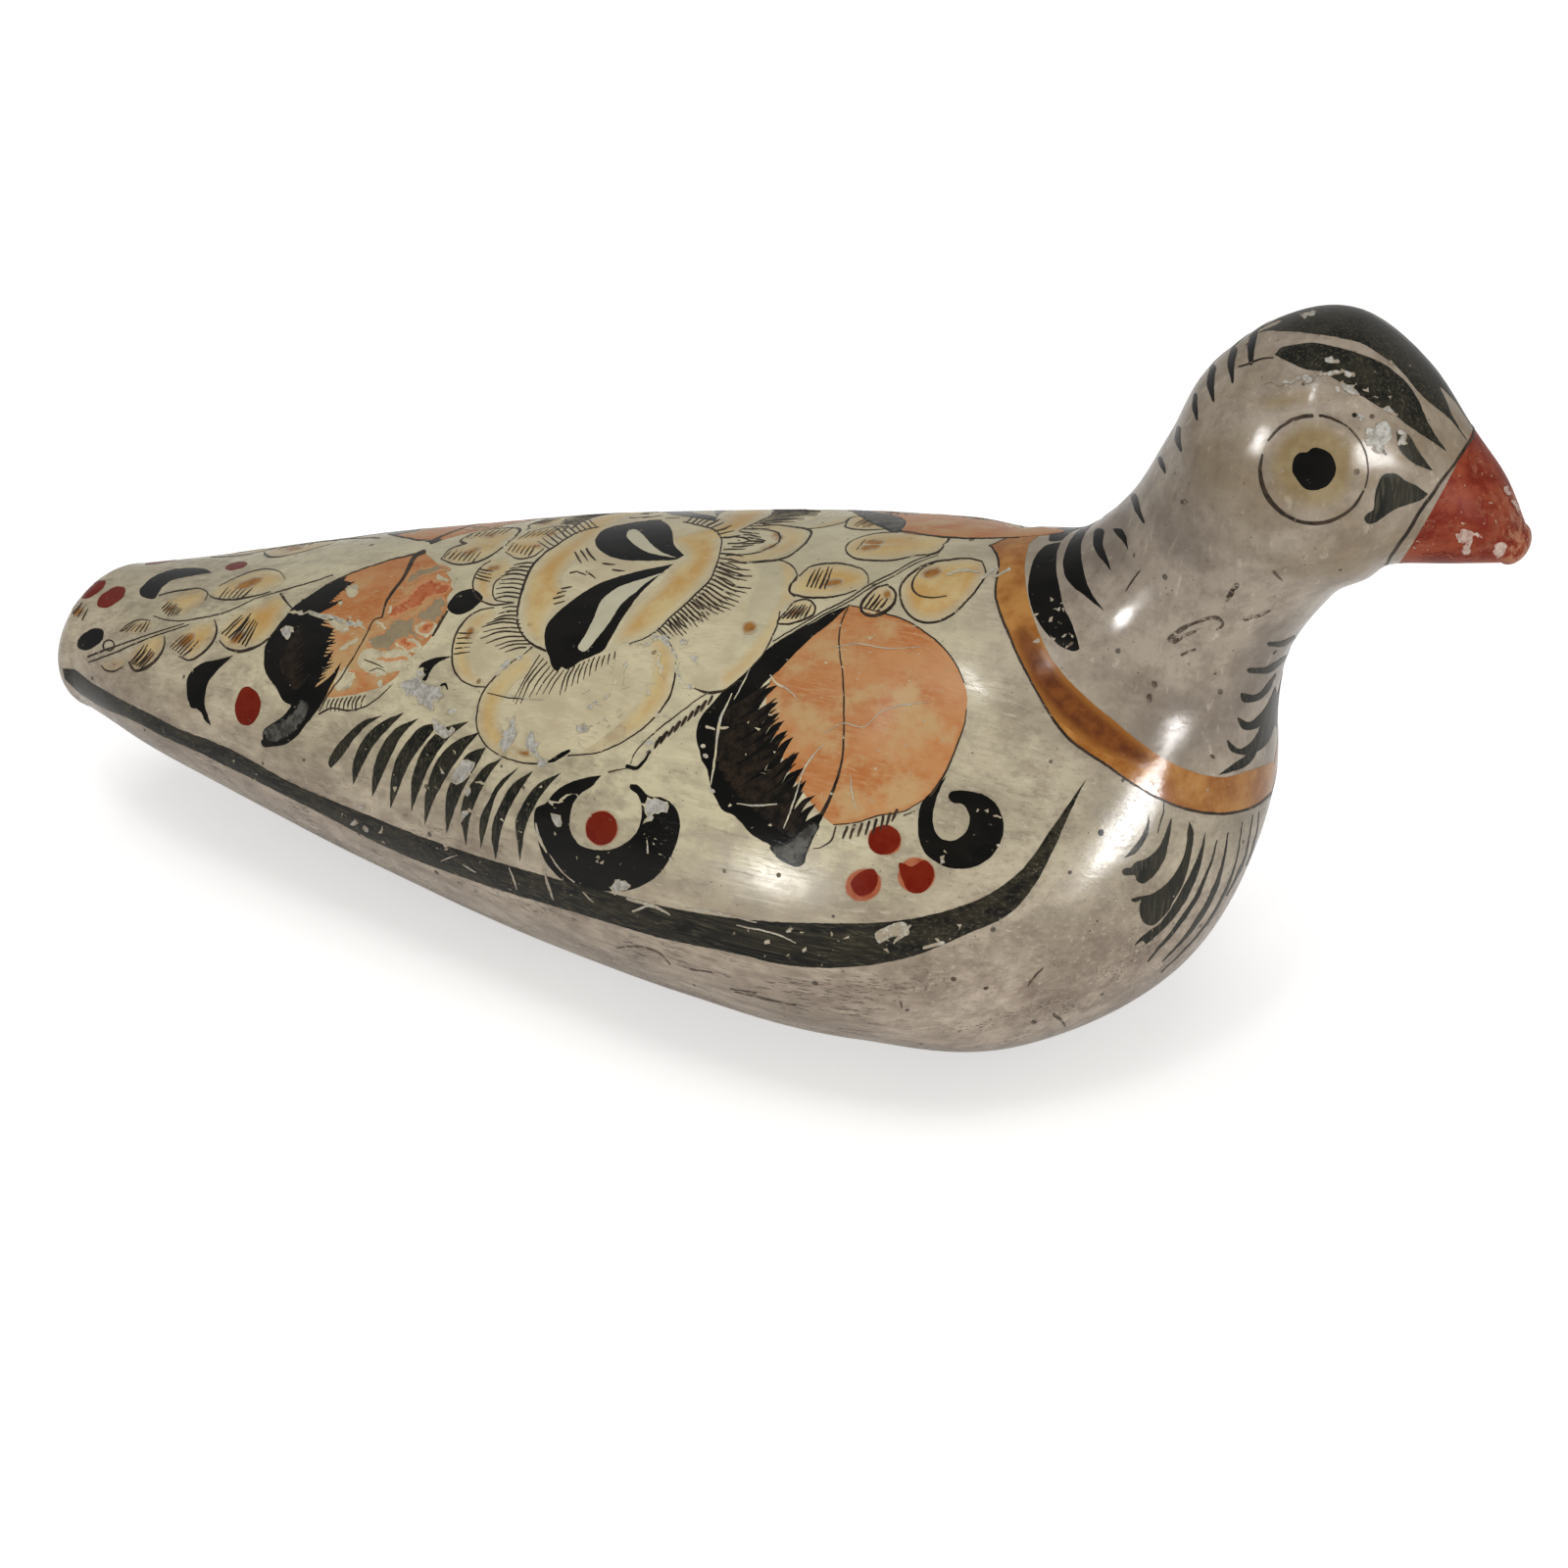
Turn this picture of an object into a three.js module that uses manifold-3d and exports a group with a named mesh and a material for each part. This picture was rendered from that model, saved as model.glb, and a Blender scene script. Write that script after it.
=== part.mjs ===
// A hollow pottery dove, pressed in moulds as thin clay pieces and luted together with slip.
// Millimetres. +X runs towards the beak, +Y to the bird's left and +Z up. The bird rests on z = 0
// and the origin lies under the middle of its length and width.

import * as THREE from 'three';
import { mergeVertices } from 'three/addons/utils/BufferGeometryUtils.js';
import Module from 'manifold-3d';

// Main sizes
const bodyLength = 200; // from the tail's last section to where the back meets the collar
const headLength = 88; // from there to the beak's last section
const backHeight = 95.5; // the back where it meets the collar
const headHeight = 50.5; // from there up to the crown
const bodyWidth = 121; // across the breast
const headWidth = 48; // across the cheeks

// Plane sections through the bird, from the tail to the beak, each square to its mid-plane. Their
// form is written as shares of the main sizes. back and front are the ends of the section in the
// mid-plane, each as a share along and a share up: the back end follows the back, nape and crown,
// the front end the belly, breast and throat. width is the share of the full width there, and
// widest says how far up from the front end that width lies.
const tailShare = 0.7; // how much of the body's length lies behind the templates' zero
const bodySection = (back, front, width, widest) => {
  const place = ([along, up]) => [(along - tailShare) * bodyLength, up * backHeight];
  return { back: place(back), front: place(front), halfWidth: width * bodyWidth / 2, widest };
};
const headSection = (back, front, width, widest) => {
  const collarX = (1 - tailShare) * bodyLength;
  const place = ([along, up]) => [collarX + along * headLength, backHeight + up * headHeight];
  return { back: place(back), front: place(front), halfWidth: width * headWidth / 2, widest };
};
const tailSections = [
  bodySection([0, 0.5393], [0, 0.2199], 0.3306, 0.5),
  bodySection([0.12, 0.5969], [0.12, 0.199], 0.5124, 0.49),
  bodySection([0.265, 0.6859], [0.265, 0.1309], 0.6364, 0.48),
];
const bodySections = [
  bodySection([0.44, 0.7853], [0.44, 0.0471], 0.7521, 0.47),
  bodySection([0.61, 0.8639], [0.61, 0.0052], 0.876, 0.46),
  bodySection([0.785, 0.9215], [0.785, -0.0126], 0.9835, 0.46),
  bodySection([0.87, 0.9476], [0.96, -0.0126], 1, 0.45),
  bodySection([0.92, 0.9686], [1.1, 0.0262], 0.9256, 0.45),
  bodySection([0.9625, 0.9843], [1.2125, 0.2147], 0.719, 0.46),
];
const collarSection = bodySection([1, 1], [1.26, 0.5707], 0.5041, 0.5);
const neckSections = [
  headSection([0.125, 0.0594], [0.5795, -0.505], 0.9792, 0.5),
  headSection([0.2386, 0.2574], [0.5852, -0.2673], 0.875, 0.5),
  headSection([0.3125, 0.5248], [0.6136, -0.1089], 0.8958, 0.5),
];
const headSections = [
  headSection([0.3807, 0.7822], [0.6648, 0.0495], 0.9792, 0.5),
  headSection([0.483, 0.9406], [0.6875, 0.099], 1, 0.5),
  headSection([0.6307, 1], [0.733, 0.1485], 0.9167, 0.5),
  headSection([0.7841, 0.8416], [0.7557, 0.1782], 0.7083, 0.5),
];
const beakSections = [
  headSection([0.8636, 0.6832], [0.767, 0.1881], 0.5625, 0.5),
  headSection([0.9489, 0.5248], [0.8523, 0.2178], 0.375, 0.5),
  headSection([1, 0.3762], [0.9489, 0.2376], 0.2083, 0.5),
];

const tailTipLength = 10; // the tail's rounded end beyond its last section
const beakTipLength = 3; // the beak's rounded end beyond its last section
const wall = 5; // the pressed clay sheet
const lutingGap = 0.3; // between two pieces that are luted together
const rollGap = 0.7; // between a roll and the round of the wall, whose flats come closer
const bodyRollRadius = 3; // clay roll pressed along the body's seam
const neckRollRadius = 3; // clay roll pressed round the neck joint
const headRollRadius = 2.5; // clay rolls pressed along the head's seam
// Where the rolls end, counted in sections from the collar, the beak's base and the tail's last one
const bodyRollFromCollar = 0.6;
const bodyRollFromTail = 1;
const headRollFromCollar = 0.9;
const headRollFromBeak = 0.8;
const ventRadius = 3.5; // firing vent in the underside
const ventShare = 0.39; // where the vent lies along the body, behind the flat that it rests on

// How finely the faceted solids follow the round form
const stepsPerSection = 3;
const bodyStepsRoundHalf = 18;
const headStepsRoundHalf = 12;
const stepsRoundTip = 4;
const rollSides = 8;
const ventSides = 24;

const creamSlip = 0xc4b898;
const greySlip = 0xb0a595;
const rawClay = 0xb07a55;
const beakRed = 0x9b4530;

const sections = [...tailSections, ...bodySections, collarSection, ...neckSections, ...headSections,
  ...beakSections];
const collarIndex = tailSections.length + bodySections.length;
const beakIndex = sections.length - beakSections.length;
const lastIndex = sections.length - 1;

// The sections as rows of numbers, and the length along the bird from each row to the next
const rows = sections.map((s) => [...s.back, ...s.front, s.halfWidth, s.widest]);
const spans = rows.slice(1).map((row, i) => {
  const before = rows[i];
  const dx = (row[0] + row[2] - before[0] - before[2]) / 2;
  const dz = (row[1] + row[3] - before[1] - before[3]) / 2;
  return Math.hypot(dx, dz);
});

// How fast each number of row i changes along the bird
function slopes(i) {
  const change = (k) => rows[k].map((v, c) => (rows[k + 1][c] - v) / spans[k]);
  if (i === 0) return change(0);
  if (i === lastIndex) return change(lastIndex - 1);
  const [before, after] = [change(i - 1), change(i)];
  const total = spans[i - 1] + spans[i];
  return before.map((v, c) => (v * spans[i] + after[c] * spans[i - 1]) / total);
}

// The row at a place between two sections, on a smooth curve through all of them
function rowAt(place) {
  const i = Math.min(Math.max(Math.floor(place), 0), lastIndex - 1);
  const t = place - i;
  const [m0, m1] = [slopes(i), slopes(i + 1)];
  const fromStart = 2 * t ** 3 - 3 * t ** 2 + 1;
  const startSlope = (t ** 3 - 2 * t ** 2 + t) * spans[i];
  const endSlope = (t ** 3 - t ** 2) * spans[i];
  return rows[i].map((v, c) => v * fromStart + m0[c] * startSlope
    + rows[i + 1][c] * (1 - fromStart) + m1[c] * endSlope);
}

// One section in the mid-plane, drawn in by inset on every side: the middle of its widest line, the
// unit vector up along the section, and how far it reaches above and below that line. Places below
// 0 lie in the tail's rounded end and places past the last section in the beak's.
function sectionAt(place, inset) {
  const inTail = place < 0;
  const inBeak = place > lastIndex;
  const [bx, bz, fx, fz, width, widest] = rowAt(Math.min(Math.max(place, 0), lastIndex));
  const back = new THREE.Vector2(bx, bz);
  const front = new THREE.Vector2(fx, fz);
  const up = back.clone().sub(front).normalize();
  const depth = back.distanceTo(front);
  const centre = front.clone().lerp(back, widest);
  const size = { above: depth * (1 - widest) - inset, below: depth * widest - inset };
  const section = { centre, up, halfWidth: width - inset, ...size };
  if (!inTail && !inBeak) return section;
  const turn = (inTail ? -place : place - lastIndex) * Math.PI / 2;
  const shrink = Math.cos(turn);
  const tipLength = (inTail ? tailTipLength : beakTipLength) - inset;
  const nextInwards = sectionAt(inTail ? 0.5 : lastIndex - 0.5, inset).centre;
  const outwards = centre.clone().sub(nextInwards).normalize();
  centre.addScaledVector(outwards, tipLength * Math.sin(turn));
  for (const key of ['halfWidth', 'above', 'below']) section[key] *= shrink;
  return section;
}

// A point on the bird's surface, or on the wall's inner face when inset is the wall. Angle 0 is the
// widest point on the right, a quarter turn the back and half a turn the left side. keepOff holds
// the point that far above or below the widest line, and sideKeepOff that far to the left or right
// of the mid-plane, so that two luted pieces keep their gap.
function surfacePoint(place, angle, inset, keepOff = 0, sideKeepOff = 0) {
  const { centre, up, above, below, halfWidth } = sectionAt(place, inset);
  const rise = Math.sin(angle);
  const hold = (value, limit) => (limit < 0 ? Math.min(value, limit) : Math.max(value, limit));
  const height = (rise > 0 ? above : below) * rise;
  const across = -halfWidth * Math.cos(angle);
  const mid = centre.addScaledVector(up, keepOff ? hold(height, keepOff) : height);
  return new THREE.Vector3(mid.x, sideKeepOff ? hold(across, sideKeepOff) : across,
    Math.max(mid.y, inset));
}

// Which way is forward along the bird, square to a section
function forwardAt(place) {
  const { up } = sectionAt(place, 0);
  return new THREE.Vector3(up.y, 0, -up.x);
}

// A closed solid from its skin, a list of triangles given as points
function solidFrom(triangles) {
  const geometry = new THREE.BufferGeometry();
  const numbers = new Float32Array(triangles.flat().flatMap((p) => [p.x, p.y, p.z]));
  geometry.setAttribute('position', new THREE.BufferAttribute(numbers, 3));
  const merged = mergeVertices(geometry, 1e-4);
  const corners = Array.from(merged.getIndex().array);
  const kept = corners.filter((corner, i) => {
    const [a, b, c] = corners.slice(i - i % 3, i - i % 3 + 3);
    return a !== b && b !== c && c !== a;
  });
  merged.setIndex(kept);
  return merged;
}

// Two triangles for each cell of a grid of points
function gridTriangles(grid, flip = false) {
  const triangles = [];
  for (let i = 0; i + 1 < grid.length; i += 1) {
    for (let j = 0; j + 1 < grid[i].length; j += 1) {
      const [a, b, c, d] = [grid[i][j], grid[i + 1][j], grid[i + 1][j + 1], grid[i][j + 1]];
      triangles.push(flip ? [a, c, b] : [a, b, c], flip ? [a, d, c] : [a, c, d]);
    }
  }
  return triangles;
}

function evenSteps(from, to, count) {
  const steps = Math.max(Math.round(count), 1);
  return Array.from({ length: steps + 1 }, (_, i) => from + (to - from) * i / steps);
}

// A shell between two faces, each a grid of points with as many rows and columns as the other
function shellFrom(outer, inner) {
  const rim = (outerEdge, innerEdge) => outerEdge.map((point, i) => [point, innerEdge[i]]);
  const columnRim = (j) => rim(outer.map((row) => row.at(j)), inner.map((row) => row.at(j)));
  const rowRim = (i) => rim(outer.at(i), inner.at(i));
  return solidFrom([
    ...gridTriangles(outer),
    ...gridTriangles(inner, true),
    ...gridTriangles(columnRim(0), true),
    ...gridTriangles(columnRim(-1)),
    ...gridTriangles(rowRim(0)),
    ...gridTriangles(rowRim(-1), true),
  ]);
}

// Half of the body's shell, from the tail's tip to the collar. side is 1 for the upper half and -1
// for the lower one.
function bodyShell(side) {
  const tip = evenSteps(-1, 0, stepsRoundTip).slice(0, -1);
  const places = [...tip, ...evenSteps(0, collarIndex, collarIndex * stepsPerSection)];
  const start = side > 0 ? 0 : Math.PI;
  const angles = evenSteps(start, start + Math.PI, bodyStepsRoundHalf);
  const stopShort = forwardAt(collarIndex).multiplyScalar(-lutingGap / 2);
  const face = (inset) => places.map((place) => angles.map((angle) => {
    const point = surfacePoint(place, angle, inset, side * lutingGap / 2);
    return place === collarIndex ? point.add(stopShort) : point;
  }));
  return shellFrom(face(0), face(wall));
}

// Half of the neck and head's shell, from the collar to the beak. side is 1 on the bird's left and
// -1 on its right.
function headShell(side) {
  const places = evenSteps(collarIndex, beakIndex, (beakIndex - collarIndex) * stepsPerSection);
  const start = side * Math.PI / 2;
  const angles = evenSteps(start, start + Math.PI, headStepsRoundHalf);
  const stopShort = { [collarIndex]: lutingGap / 2, [beakIndex]: -lutingGap / 2 };
  const face = (inset) => places.map((place) => angles.map((angle) => {
    const point = surfacePoint(place, angle, inset, 0, side * lutingGap / 2);
    return point.addScaledVector(forwardAt(place), stopShort[place] ?? 0);
  }));
  return shellFrom(face(0), face(wall));
}

// The solid beak, with a flat face where it is luted to the head
function beakSolid() {
  const base = evenSteps(beakIndex, lastIndex, (lastIndex - beakIndex) * stepsPerSection);
  const places = [...base, ...evenSteps(lastIndex, lastIndex + 1, stepsRoundTip).slice(1)];
  const angles = evenSteps(0, Math.PI * 2, headStepsRoundHalf * 2);
  const skin = places.map((place) => angles.map((angle) => surfacePoint(place, angle, 0)));
  const clear = forwardAt(beakIndex).multiplyScalar(lutingGap / 2);
  skin[0].forEach((point) => point.add(clear));
  const { centre } = sectionAt(beakIndex, 0);
  const middle = new THREE.Vector3(centre.x, 0, centre.y).add(clear);
  return solidFrom([...gridTriangles([angles.map(() => middle), ...skin])]);
}

// A round roll of clay along a path of points that stays nearly square to the axis
function clayRoll(path, axis, radius, closed = false) {
  const count = path.length;
  const turns = evenSteps(0, Math.PI * 2, rollSides);
  const rings = path.map((point, i) => {
    const before = path[closed ? (i + count - 1) % count : Math.max(i - 1, 0)];
    const after = path[closed ? (i + 1) % count : Math.min(i + 1, count - 1)];
    const ahead = after.clone().sub(before).normalize();
    const out = ahead.clone().cross(axis).normalize();
    const up = out.clone().cross(ahead);
    return turns.map((turn) => point.clone()
      .addScaledVector(out, radius * Math.cos(turn))
      .addScaledVector(up, radius * Math.sin(turn)));
  });
  if (closed) return solidFrom(gridTriangles([...rings, rings[0]]));
  const startFace = turns.map(() => path[0]);
  const endFace = turns.map(() => path[count - 1]);
  return solidFrom(gridTriangles([startFace, ...rings, endFace]));
}

// The middle of a roll of this radius that is pressed against the inside of the wall
function againstWall(place, angle, radius) {
  const point = (p, a) => surfacePoint(p, a, wall);
  const step = 0.02;
  const along = point(place + step, angle).sub(point(place - step, angle));
  const round = point(place, angle + step).sub(point(place, angle - step));
  const inwards = round.cross(along).normalize();
  return point(place, angle).addScaledVector(inwards, radius + rollGap);
}

// The roll along the body's seam: from the collar down the right side to the tail, round its hollow
// end and back up the left side
function bodySeamRoll() {
  const last = collarIndex - bodyRollFromCollar;
  const steps = (last - bodyRollFromTail) * stepsPerSection;
  const right = evenSteps(last, bodyRollFromTail, steps)
    .map((place) => againstWall(place, 0, bodyRollRadius));
  const start = right.at(-1);
  const ahead = start.clone().sub(right.at(-2));
  const tip = sectionAt(-1, wall).centre;
  const apex = new THREE.Vector3(tip.x + bodyRollRadius + rollGap, 0, tip.y);
  const corner = start.clone().addScaledVector(ahead, (apex.x - start.x) / ahead.x);
  corner.z = apex.z;
  const bend = new THREE.QuadraticBezierCurve3(start, corner, apex);
  const turn = bend.getPoints(2 * stepsPerSection).slice(1, -1);
  const toLeft = (point) => new THREE.Vector3(point.x, -point.y, point.z);
  const rightHalf = [...right, ...turn];
  const path = [...rightHalf, apex, ...rightHalf.map(toLeft).reverse()];
  return clayRoll(path, new THREE.Vector3(0, 0, 1), bodyRollRadius);
}

// The ring of clay inside the joint between body and neck
function neckSeamRoll() {
  const angles = evenSteps(0, Math.PI * 2, headStepsRoundHalf * 2).slice(0, -1);
  const path = angles.map((angle) => againstWall(collarIndex, angle, neckRollRadius));
  return clayRoll(path, forwardAt(collarIndex), neckRollRadius, true);
}

// A roll along the head's seam: a quarter turn is the nape and crown, three quarters the throat
function headSeamRoll(angle) {
  const [first, last] = [collarIndex + headRollFromCollar, beakIndex - headRollFromBeak];
  const places = evenSteps(first, last, (last - first) * stepsPerSection);
  const path = places.map((place) => againstWall(place, angle, headRollRadius));
  return clayRoll(path, new THREE.Vector3(0, 1, 0), headRollRadius);
}

const wasm = await Module();
wasm.setup();

function toManifold(geometry) {
  const clean = geometry.clone();
  clean.deleteAttribute('normal');
  clean.deleteAttribute('uv');
  const merged = mergeVertices(clean, 1e-4);
  const vertProperties = new Float32Array(merged.attributes.position.array);
  const triVerts = new Uint32Array(merged.index.array);
  return new wasm.Manifold(new wasm.Mesh({ numProp: 3, vertProperties, triVerts }));
}

// The belly with its firing vent cut straight up through the wall
function ventedBelly() {
  const reach = 6 * wall;
  const cutter = new THREE.CylinderGeometry(ventRadius, ventRadius, reach, ventSides);
  cutter.rotateX(Math.PI / 2);
  cutter.translate((ventShare - tailShare) * bodyLength, 0, 0);
  const cut = toManifold(bodyShell(-1)).subtract(toManifold(cutter)).getMesh();
  const geometry = new THREE.BufferGeometry();
  geometry.setAttribute('position', new THREE.BufferAttribute(cut.vertProperties, 3));
  geometry.setIndex(new THREE.BufferAttribute(cut.triVerts, 1));
  return geometry;
}

const dove = new THREE.Group();

function addPiece(name, geometry, color, roughness) {
  geometry.computeVertexNormals();
  const material = new THREE.MeshStandardMaterial({ color, roughness, metalness: 0 });
  const mesh = new THREE.Mesh(geometry, material);
  mesh.name = name;
  dove.add(mesh);
}

addPiece('back_shell', bodyShell(1), creamSlip, 0.35);
addPiece('belly_shell', ventedBelly(), greySlip, 0.35);
addPiece('body_seam_coil', bodySeamRoll(), rawClay, 0.9);
addPiece('neck_seam_coil', neckSeamRoll(), rawClay, 0.9);
addPiece('head_right_half', headShell(-1), creamSlip, 0.35);
addPiece('head_left_half', headShell(1), creamSlip, 0.35);
addPiece('crown_seam_coil', headSeamRoll(Math.PI / 2), rawClay, 0.9);
addPiece('throat_seam_coil', headSeamRoll(Math.PI * 3 / 2), rawClay, 0.9);
addPiece('beak', beakSolid(), beakRed, 0.4);

// The origin goes under the middle of the bird
const middle = new THREE.Box3().setFromObject(dove).getCenter(new THREE.Vector3());
dove.position.x = -middle.x;
dove.updateMatrixWorld(true);

export default dove;
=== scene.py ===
# %% [markdown]
# # A burnished pottery dove
# The bird is folk earthenware: thin clay sheets pressed in moulds, luted into a hollow body, covered
# with cream slip, painted with coloured slips and rubbed to a shine with a stone before one low
# firing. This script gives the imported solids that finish: a fine skin over the same form, the
# painted marks as thin films of slip that lie on it, and a camera where the photographer stood.

# %% The frame and its real size
import math
from functools import partial

import bmesh
import bpy
import numpy as np
from mathutils import Matrix, Vector, noise
from mathutils.bvhtree import BVHTree
from mathutils.geometry import delaunay_2d_cdt
from mathutils.interpolate import poly_3d_calc


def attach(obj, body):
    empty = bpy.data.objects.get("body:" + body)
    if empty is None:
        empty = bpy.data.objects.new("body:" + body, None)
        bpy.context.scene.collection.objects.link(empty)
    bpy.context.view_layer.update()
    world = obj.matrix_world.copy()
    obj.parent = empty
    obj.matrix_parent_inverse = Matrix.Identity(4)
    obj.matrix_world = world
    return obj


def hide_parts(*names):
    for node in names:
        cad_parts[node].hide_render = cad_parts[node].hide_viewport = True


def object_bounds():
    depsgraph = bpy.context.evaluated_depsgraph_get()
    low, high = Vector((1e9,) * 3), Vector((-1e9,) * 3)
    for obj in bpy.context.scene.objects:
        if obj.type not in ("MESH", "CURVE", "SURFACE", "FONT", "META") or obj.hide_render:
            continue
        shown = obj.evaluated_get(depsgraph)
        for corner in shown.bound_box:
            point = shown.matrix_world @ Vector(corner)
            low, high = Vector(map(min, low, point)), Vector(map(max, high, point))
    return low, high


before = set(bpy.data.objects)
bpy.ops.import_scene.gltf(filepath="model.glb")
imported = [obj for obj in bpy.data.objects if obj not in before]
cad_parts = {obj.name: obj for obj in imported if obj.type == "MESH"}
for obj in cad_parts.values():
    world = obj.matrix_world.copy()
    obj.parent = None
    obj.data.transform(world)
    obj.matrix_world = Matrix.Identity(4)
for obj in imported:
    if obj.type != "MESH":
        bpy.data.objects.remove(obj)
cad_box = [list(corner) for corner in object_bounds()]
mm = 0.001
scene = bpy.context.scene
scene.view_settings.view_transform = "Standard"
print("length, width and height in mm:",
      [round((high - low) / mm, 1) for low, high in zip(*cad_box)])

# %% [markdown]
# ## The form
# A moulded body like this has no straight line in it, so it is described as a carver would cut
# templates for it: plane sections from tail to beak. Each one gives where the back and the belly
# lie in the middle plane, half the width, and how far up from the belly the widest point is.
# A smooth curve through the sections gives the form anywhere between them.

# %% Plane sections through the bird, in mm
# (back x, back z, belly x, belly z, half width, height of the widest point as a share)
tail_sections = [
    (-140, 51.5, -140, 21, 20, 0.5),
    (-116, 57, -116, 19, 31, 0.49),
    (-87, 65.5, -87, 12.5, 38.5, 0.48),
]
body_sections = [
    (-52, 75, -52, 4.5, 45.5, 0.47),
    (-18, 82.5, -18, 0.5, 53, 0.46),
    (17, 88, 17, -1.2, 59.5, 0.46),
    (34, 90.5, 52, -1.2, 60.5, 0.45),
    (44, 92.5, 80, 2.5, 56, 0.45),
    (52.5, 94, 102.5, 20.5, 43.5, 0.46),
]
neck_sections = [
    (60, 95.5, 112, 54.5, 30.5, 0.5),
    (71, 98.5, 111, 70, 23.5, 0.5),
    (81, 108.5, 111.5, 82, 21, 0.5),
    (87.5, 122, 114, 90, 21.5, 0.5),
]
head_sections = [
    (93.5, 135, 118.5, 98, 23.5, 0.5),
    (102.5, 143, 120.5, 100.5, 24, 0.5),
    (115.5, 146, 124.5, 103, 22, 0.5),
    (129, 138, 126.5, 105.2, 17, 0.5),
]
beak_sections = [
    (136.5, 129.5, 128.2, 105.9, 13.1, 0.5),
    (143.5, 121.3, 137, 107.3, 9.2, 0.5),
    (147.3, 114.4, 144.4, 108.7, 5.6, 0.5),
]
tail_tip_length = 10
beak_tip_length = 2.6
wall = 5

rows = np.array(tail_sections + body_sections + neck_sections + head_sections + beak_sections)
collar_place = len(tail_sections + body_sections)
beak_place = len(rows) - len(beak_sections)
last_place = len(rows) - 1
middles = (rows[:, 0:2] + rows[:, 2:4]) / 2
spans = np.linalg.norm(np.diff(middles, axis=0), axis=1)
steps = np.diff(rows, axis=0) / spans[:, None]
slopes = np.concatenate([
    steps[:1],
    (steps[:-1] * spans[1:, None] + steps[1:] * spans[:-1, None]) / (spans[:-1] + spans[1:])[:, None],
    steps[-1:],
])
print("sections:", len(rows), "collar at", collar_place, "beak at", beak_place)


# %% The form between the sections
def row_at(place):
    """The section's numbers at places along the bird, on a smooth curve through the sections."""
    i = np.clip(np.floor(place).astype(int), 0, last_place - 1)
    t = (place - i)[:, None]
    span = spans[i][:, None]
    rise = 3 * t ** 2 - 2 * t ** 3
    return (rows[i] * (1 - rise) + rows[i + 1] * rise
            + slopes[i] * span * (t ** 3 - 2 * t ** 2 + t)
            + slopes[i + 1] * span * (t ** 3 - t ** 2))


def form_point(place, angle, inset=0.0):
    """Points in mm. Angle 0 is the widest point on the right, a quarter turn the back."""
    bx, bz, fx, fz, width, widest = row_at(np.clip(place, 0, last_place)).T
    back, front = np.stack([bx, bz], 1), np.stack([fx, fz], 1)
    depth = np.linalg.norm(back - front, axis=1)
    up = (back - front) / depth[:, None]
    centre = front + (back - front) * widest[:, None]
    size = np.stack([width, depth * (1 - widest), depth * widest]) - inset
    for past, tip_length, inner in ((-place, tail_tip_length, 0.5),
                                    (place - last_place, beak_tip_length, last_place - 0.5)):
        inner_row = row_at(np.array([inner]))[0]
        inner_centre = inner_row[2:4] + (inner_row[0:2] - inner_row[2:4]) * inner_row[5]
        outwards = centre - inner_centre
        outwards = outwards / np.linalg.norm(outwards, axis=1)[:, None]
        turn = np.clip(past, 0, 1) * math.pi / 2
        centre = centre + outwards * ((tip_length - inset) * np.sin(turn))[:, None]
        size = size * np.cos(turn)
    height = np.where(np.sin(angle) > 0, size[1], size[2]) * np.sin(angle)
    mid = centre + up * height[:, None]
    return np.stack([mid[:, 0], -size[0] * np.cos(angle), np.maximum(mid[:, 1], inset)], 1)


# %% [markdown]
# ## One fine grid of points
# All the skins share one grid over the whole bird, so that two clay pieces that were luted and
# burnished together meet point for point and reflect the light without a break. A hand-rubbed
# pot is never quite true, so every point also moves in or out by a fraction of a millimetre.

# %% The shared grid
skin_step = 1.15  # mm between rows of points
columns = 256  # round the whole bird, a multiple of 4
unevenness = 0.22  # mm in or out
unevenness_size = 24  # mm from one swell to the next
inner_every = 4  # the wall's inner face takes every fourth point
tip_steps = 8  # rows of points over the rounded tip of the beak, a multiple of inner_every

along = np.linspace(-1, last_place + 1, 4000)
spine = (form_point(along, np.full_like(along, 0.5 * math.pi))
         + form_point(along, np.full_like(along, 1.5 * math.pi))) / 2
travelled = np.concatenate([[0], np.cumsum(np.linalg.norm(np.diff(spine, axis=0), axis=1))])


def even_places(start, end):
    """Places from start to end about one skin step apart, a multiple of inner_every of them."""
    a, b = np.interp([start, end], along, travelled)
    count = max(1, round((b - a) / skin_step / inner_every)) * inner_every
    return np.interp(np.linspace(a, b, count + 1), travelled, along)


body_places = even_places(-1, collar_place)
head_places = even_places(collar_place, beak_place)
beak_places = np.concatenate([even_places(beak_place, last_place),
                              last_place + np.arange(1, tip_steps + 1) / tip_steps])
places = np.concatenate([body_places, head_places[1:], beak_places[1:]])
collar_row = len(body_places) - 1
beak_row = collar_row + len(head_places) - 1
angles = np.arange(columns) * 2 * math.pi / columns


def form_grid(grid_places, inset=0.0, nudge=(0.0, 0.0)):
    """The form at every place and angle, as an array of rows, columns and x, y, z in mm."""
    place, angle = np.meshgrid(grid_places + nudge[0], angles + nudge[1], indexing="ij")
    return form_point(place.ravel(), angle.ravel(), inset).reshape(len(grid_places), columns, 3)


def outward_normals(grid_places):
    small = 1e-3
    inner = np.clip(grid_places, -1 + 5 * small, last_place + 1 - 5 * small)
    ahead = form_grid(inner, nudge=(small, 0)) - form_grid(inner, nudge=(-small, 0))
    around = form_grid(inner, nudge=(0, small)) - form_grid(inner, nudge=(0, -small))
    normal = np.cross(ahead, around)
    return normal / np.linalg.norm(normal, axis=2, keepdims=True)


def swell(point):
    return unevenness * noise.noise(Vector(point) / unevenness_size)


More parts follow.
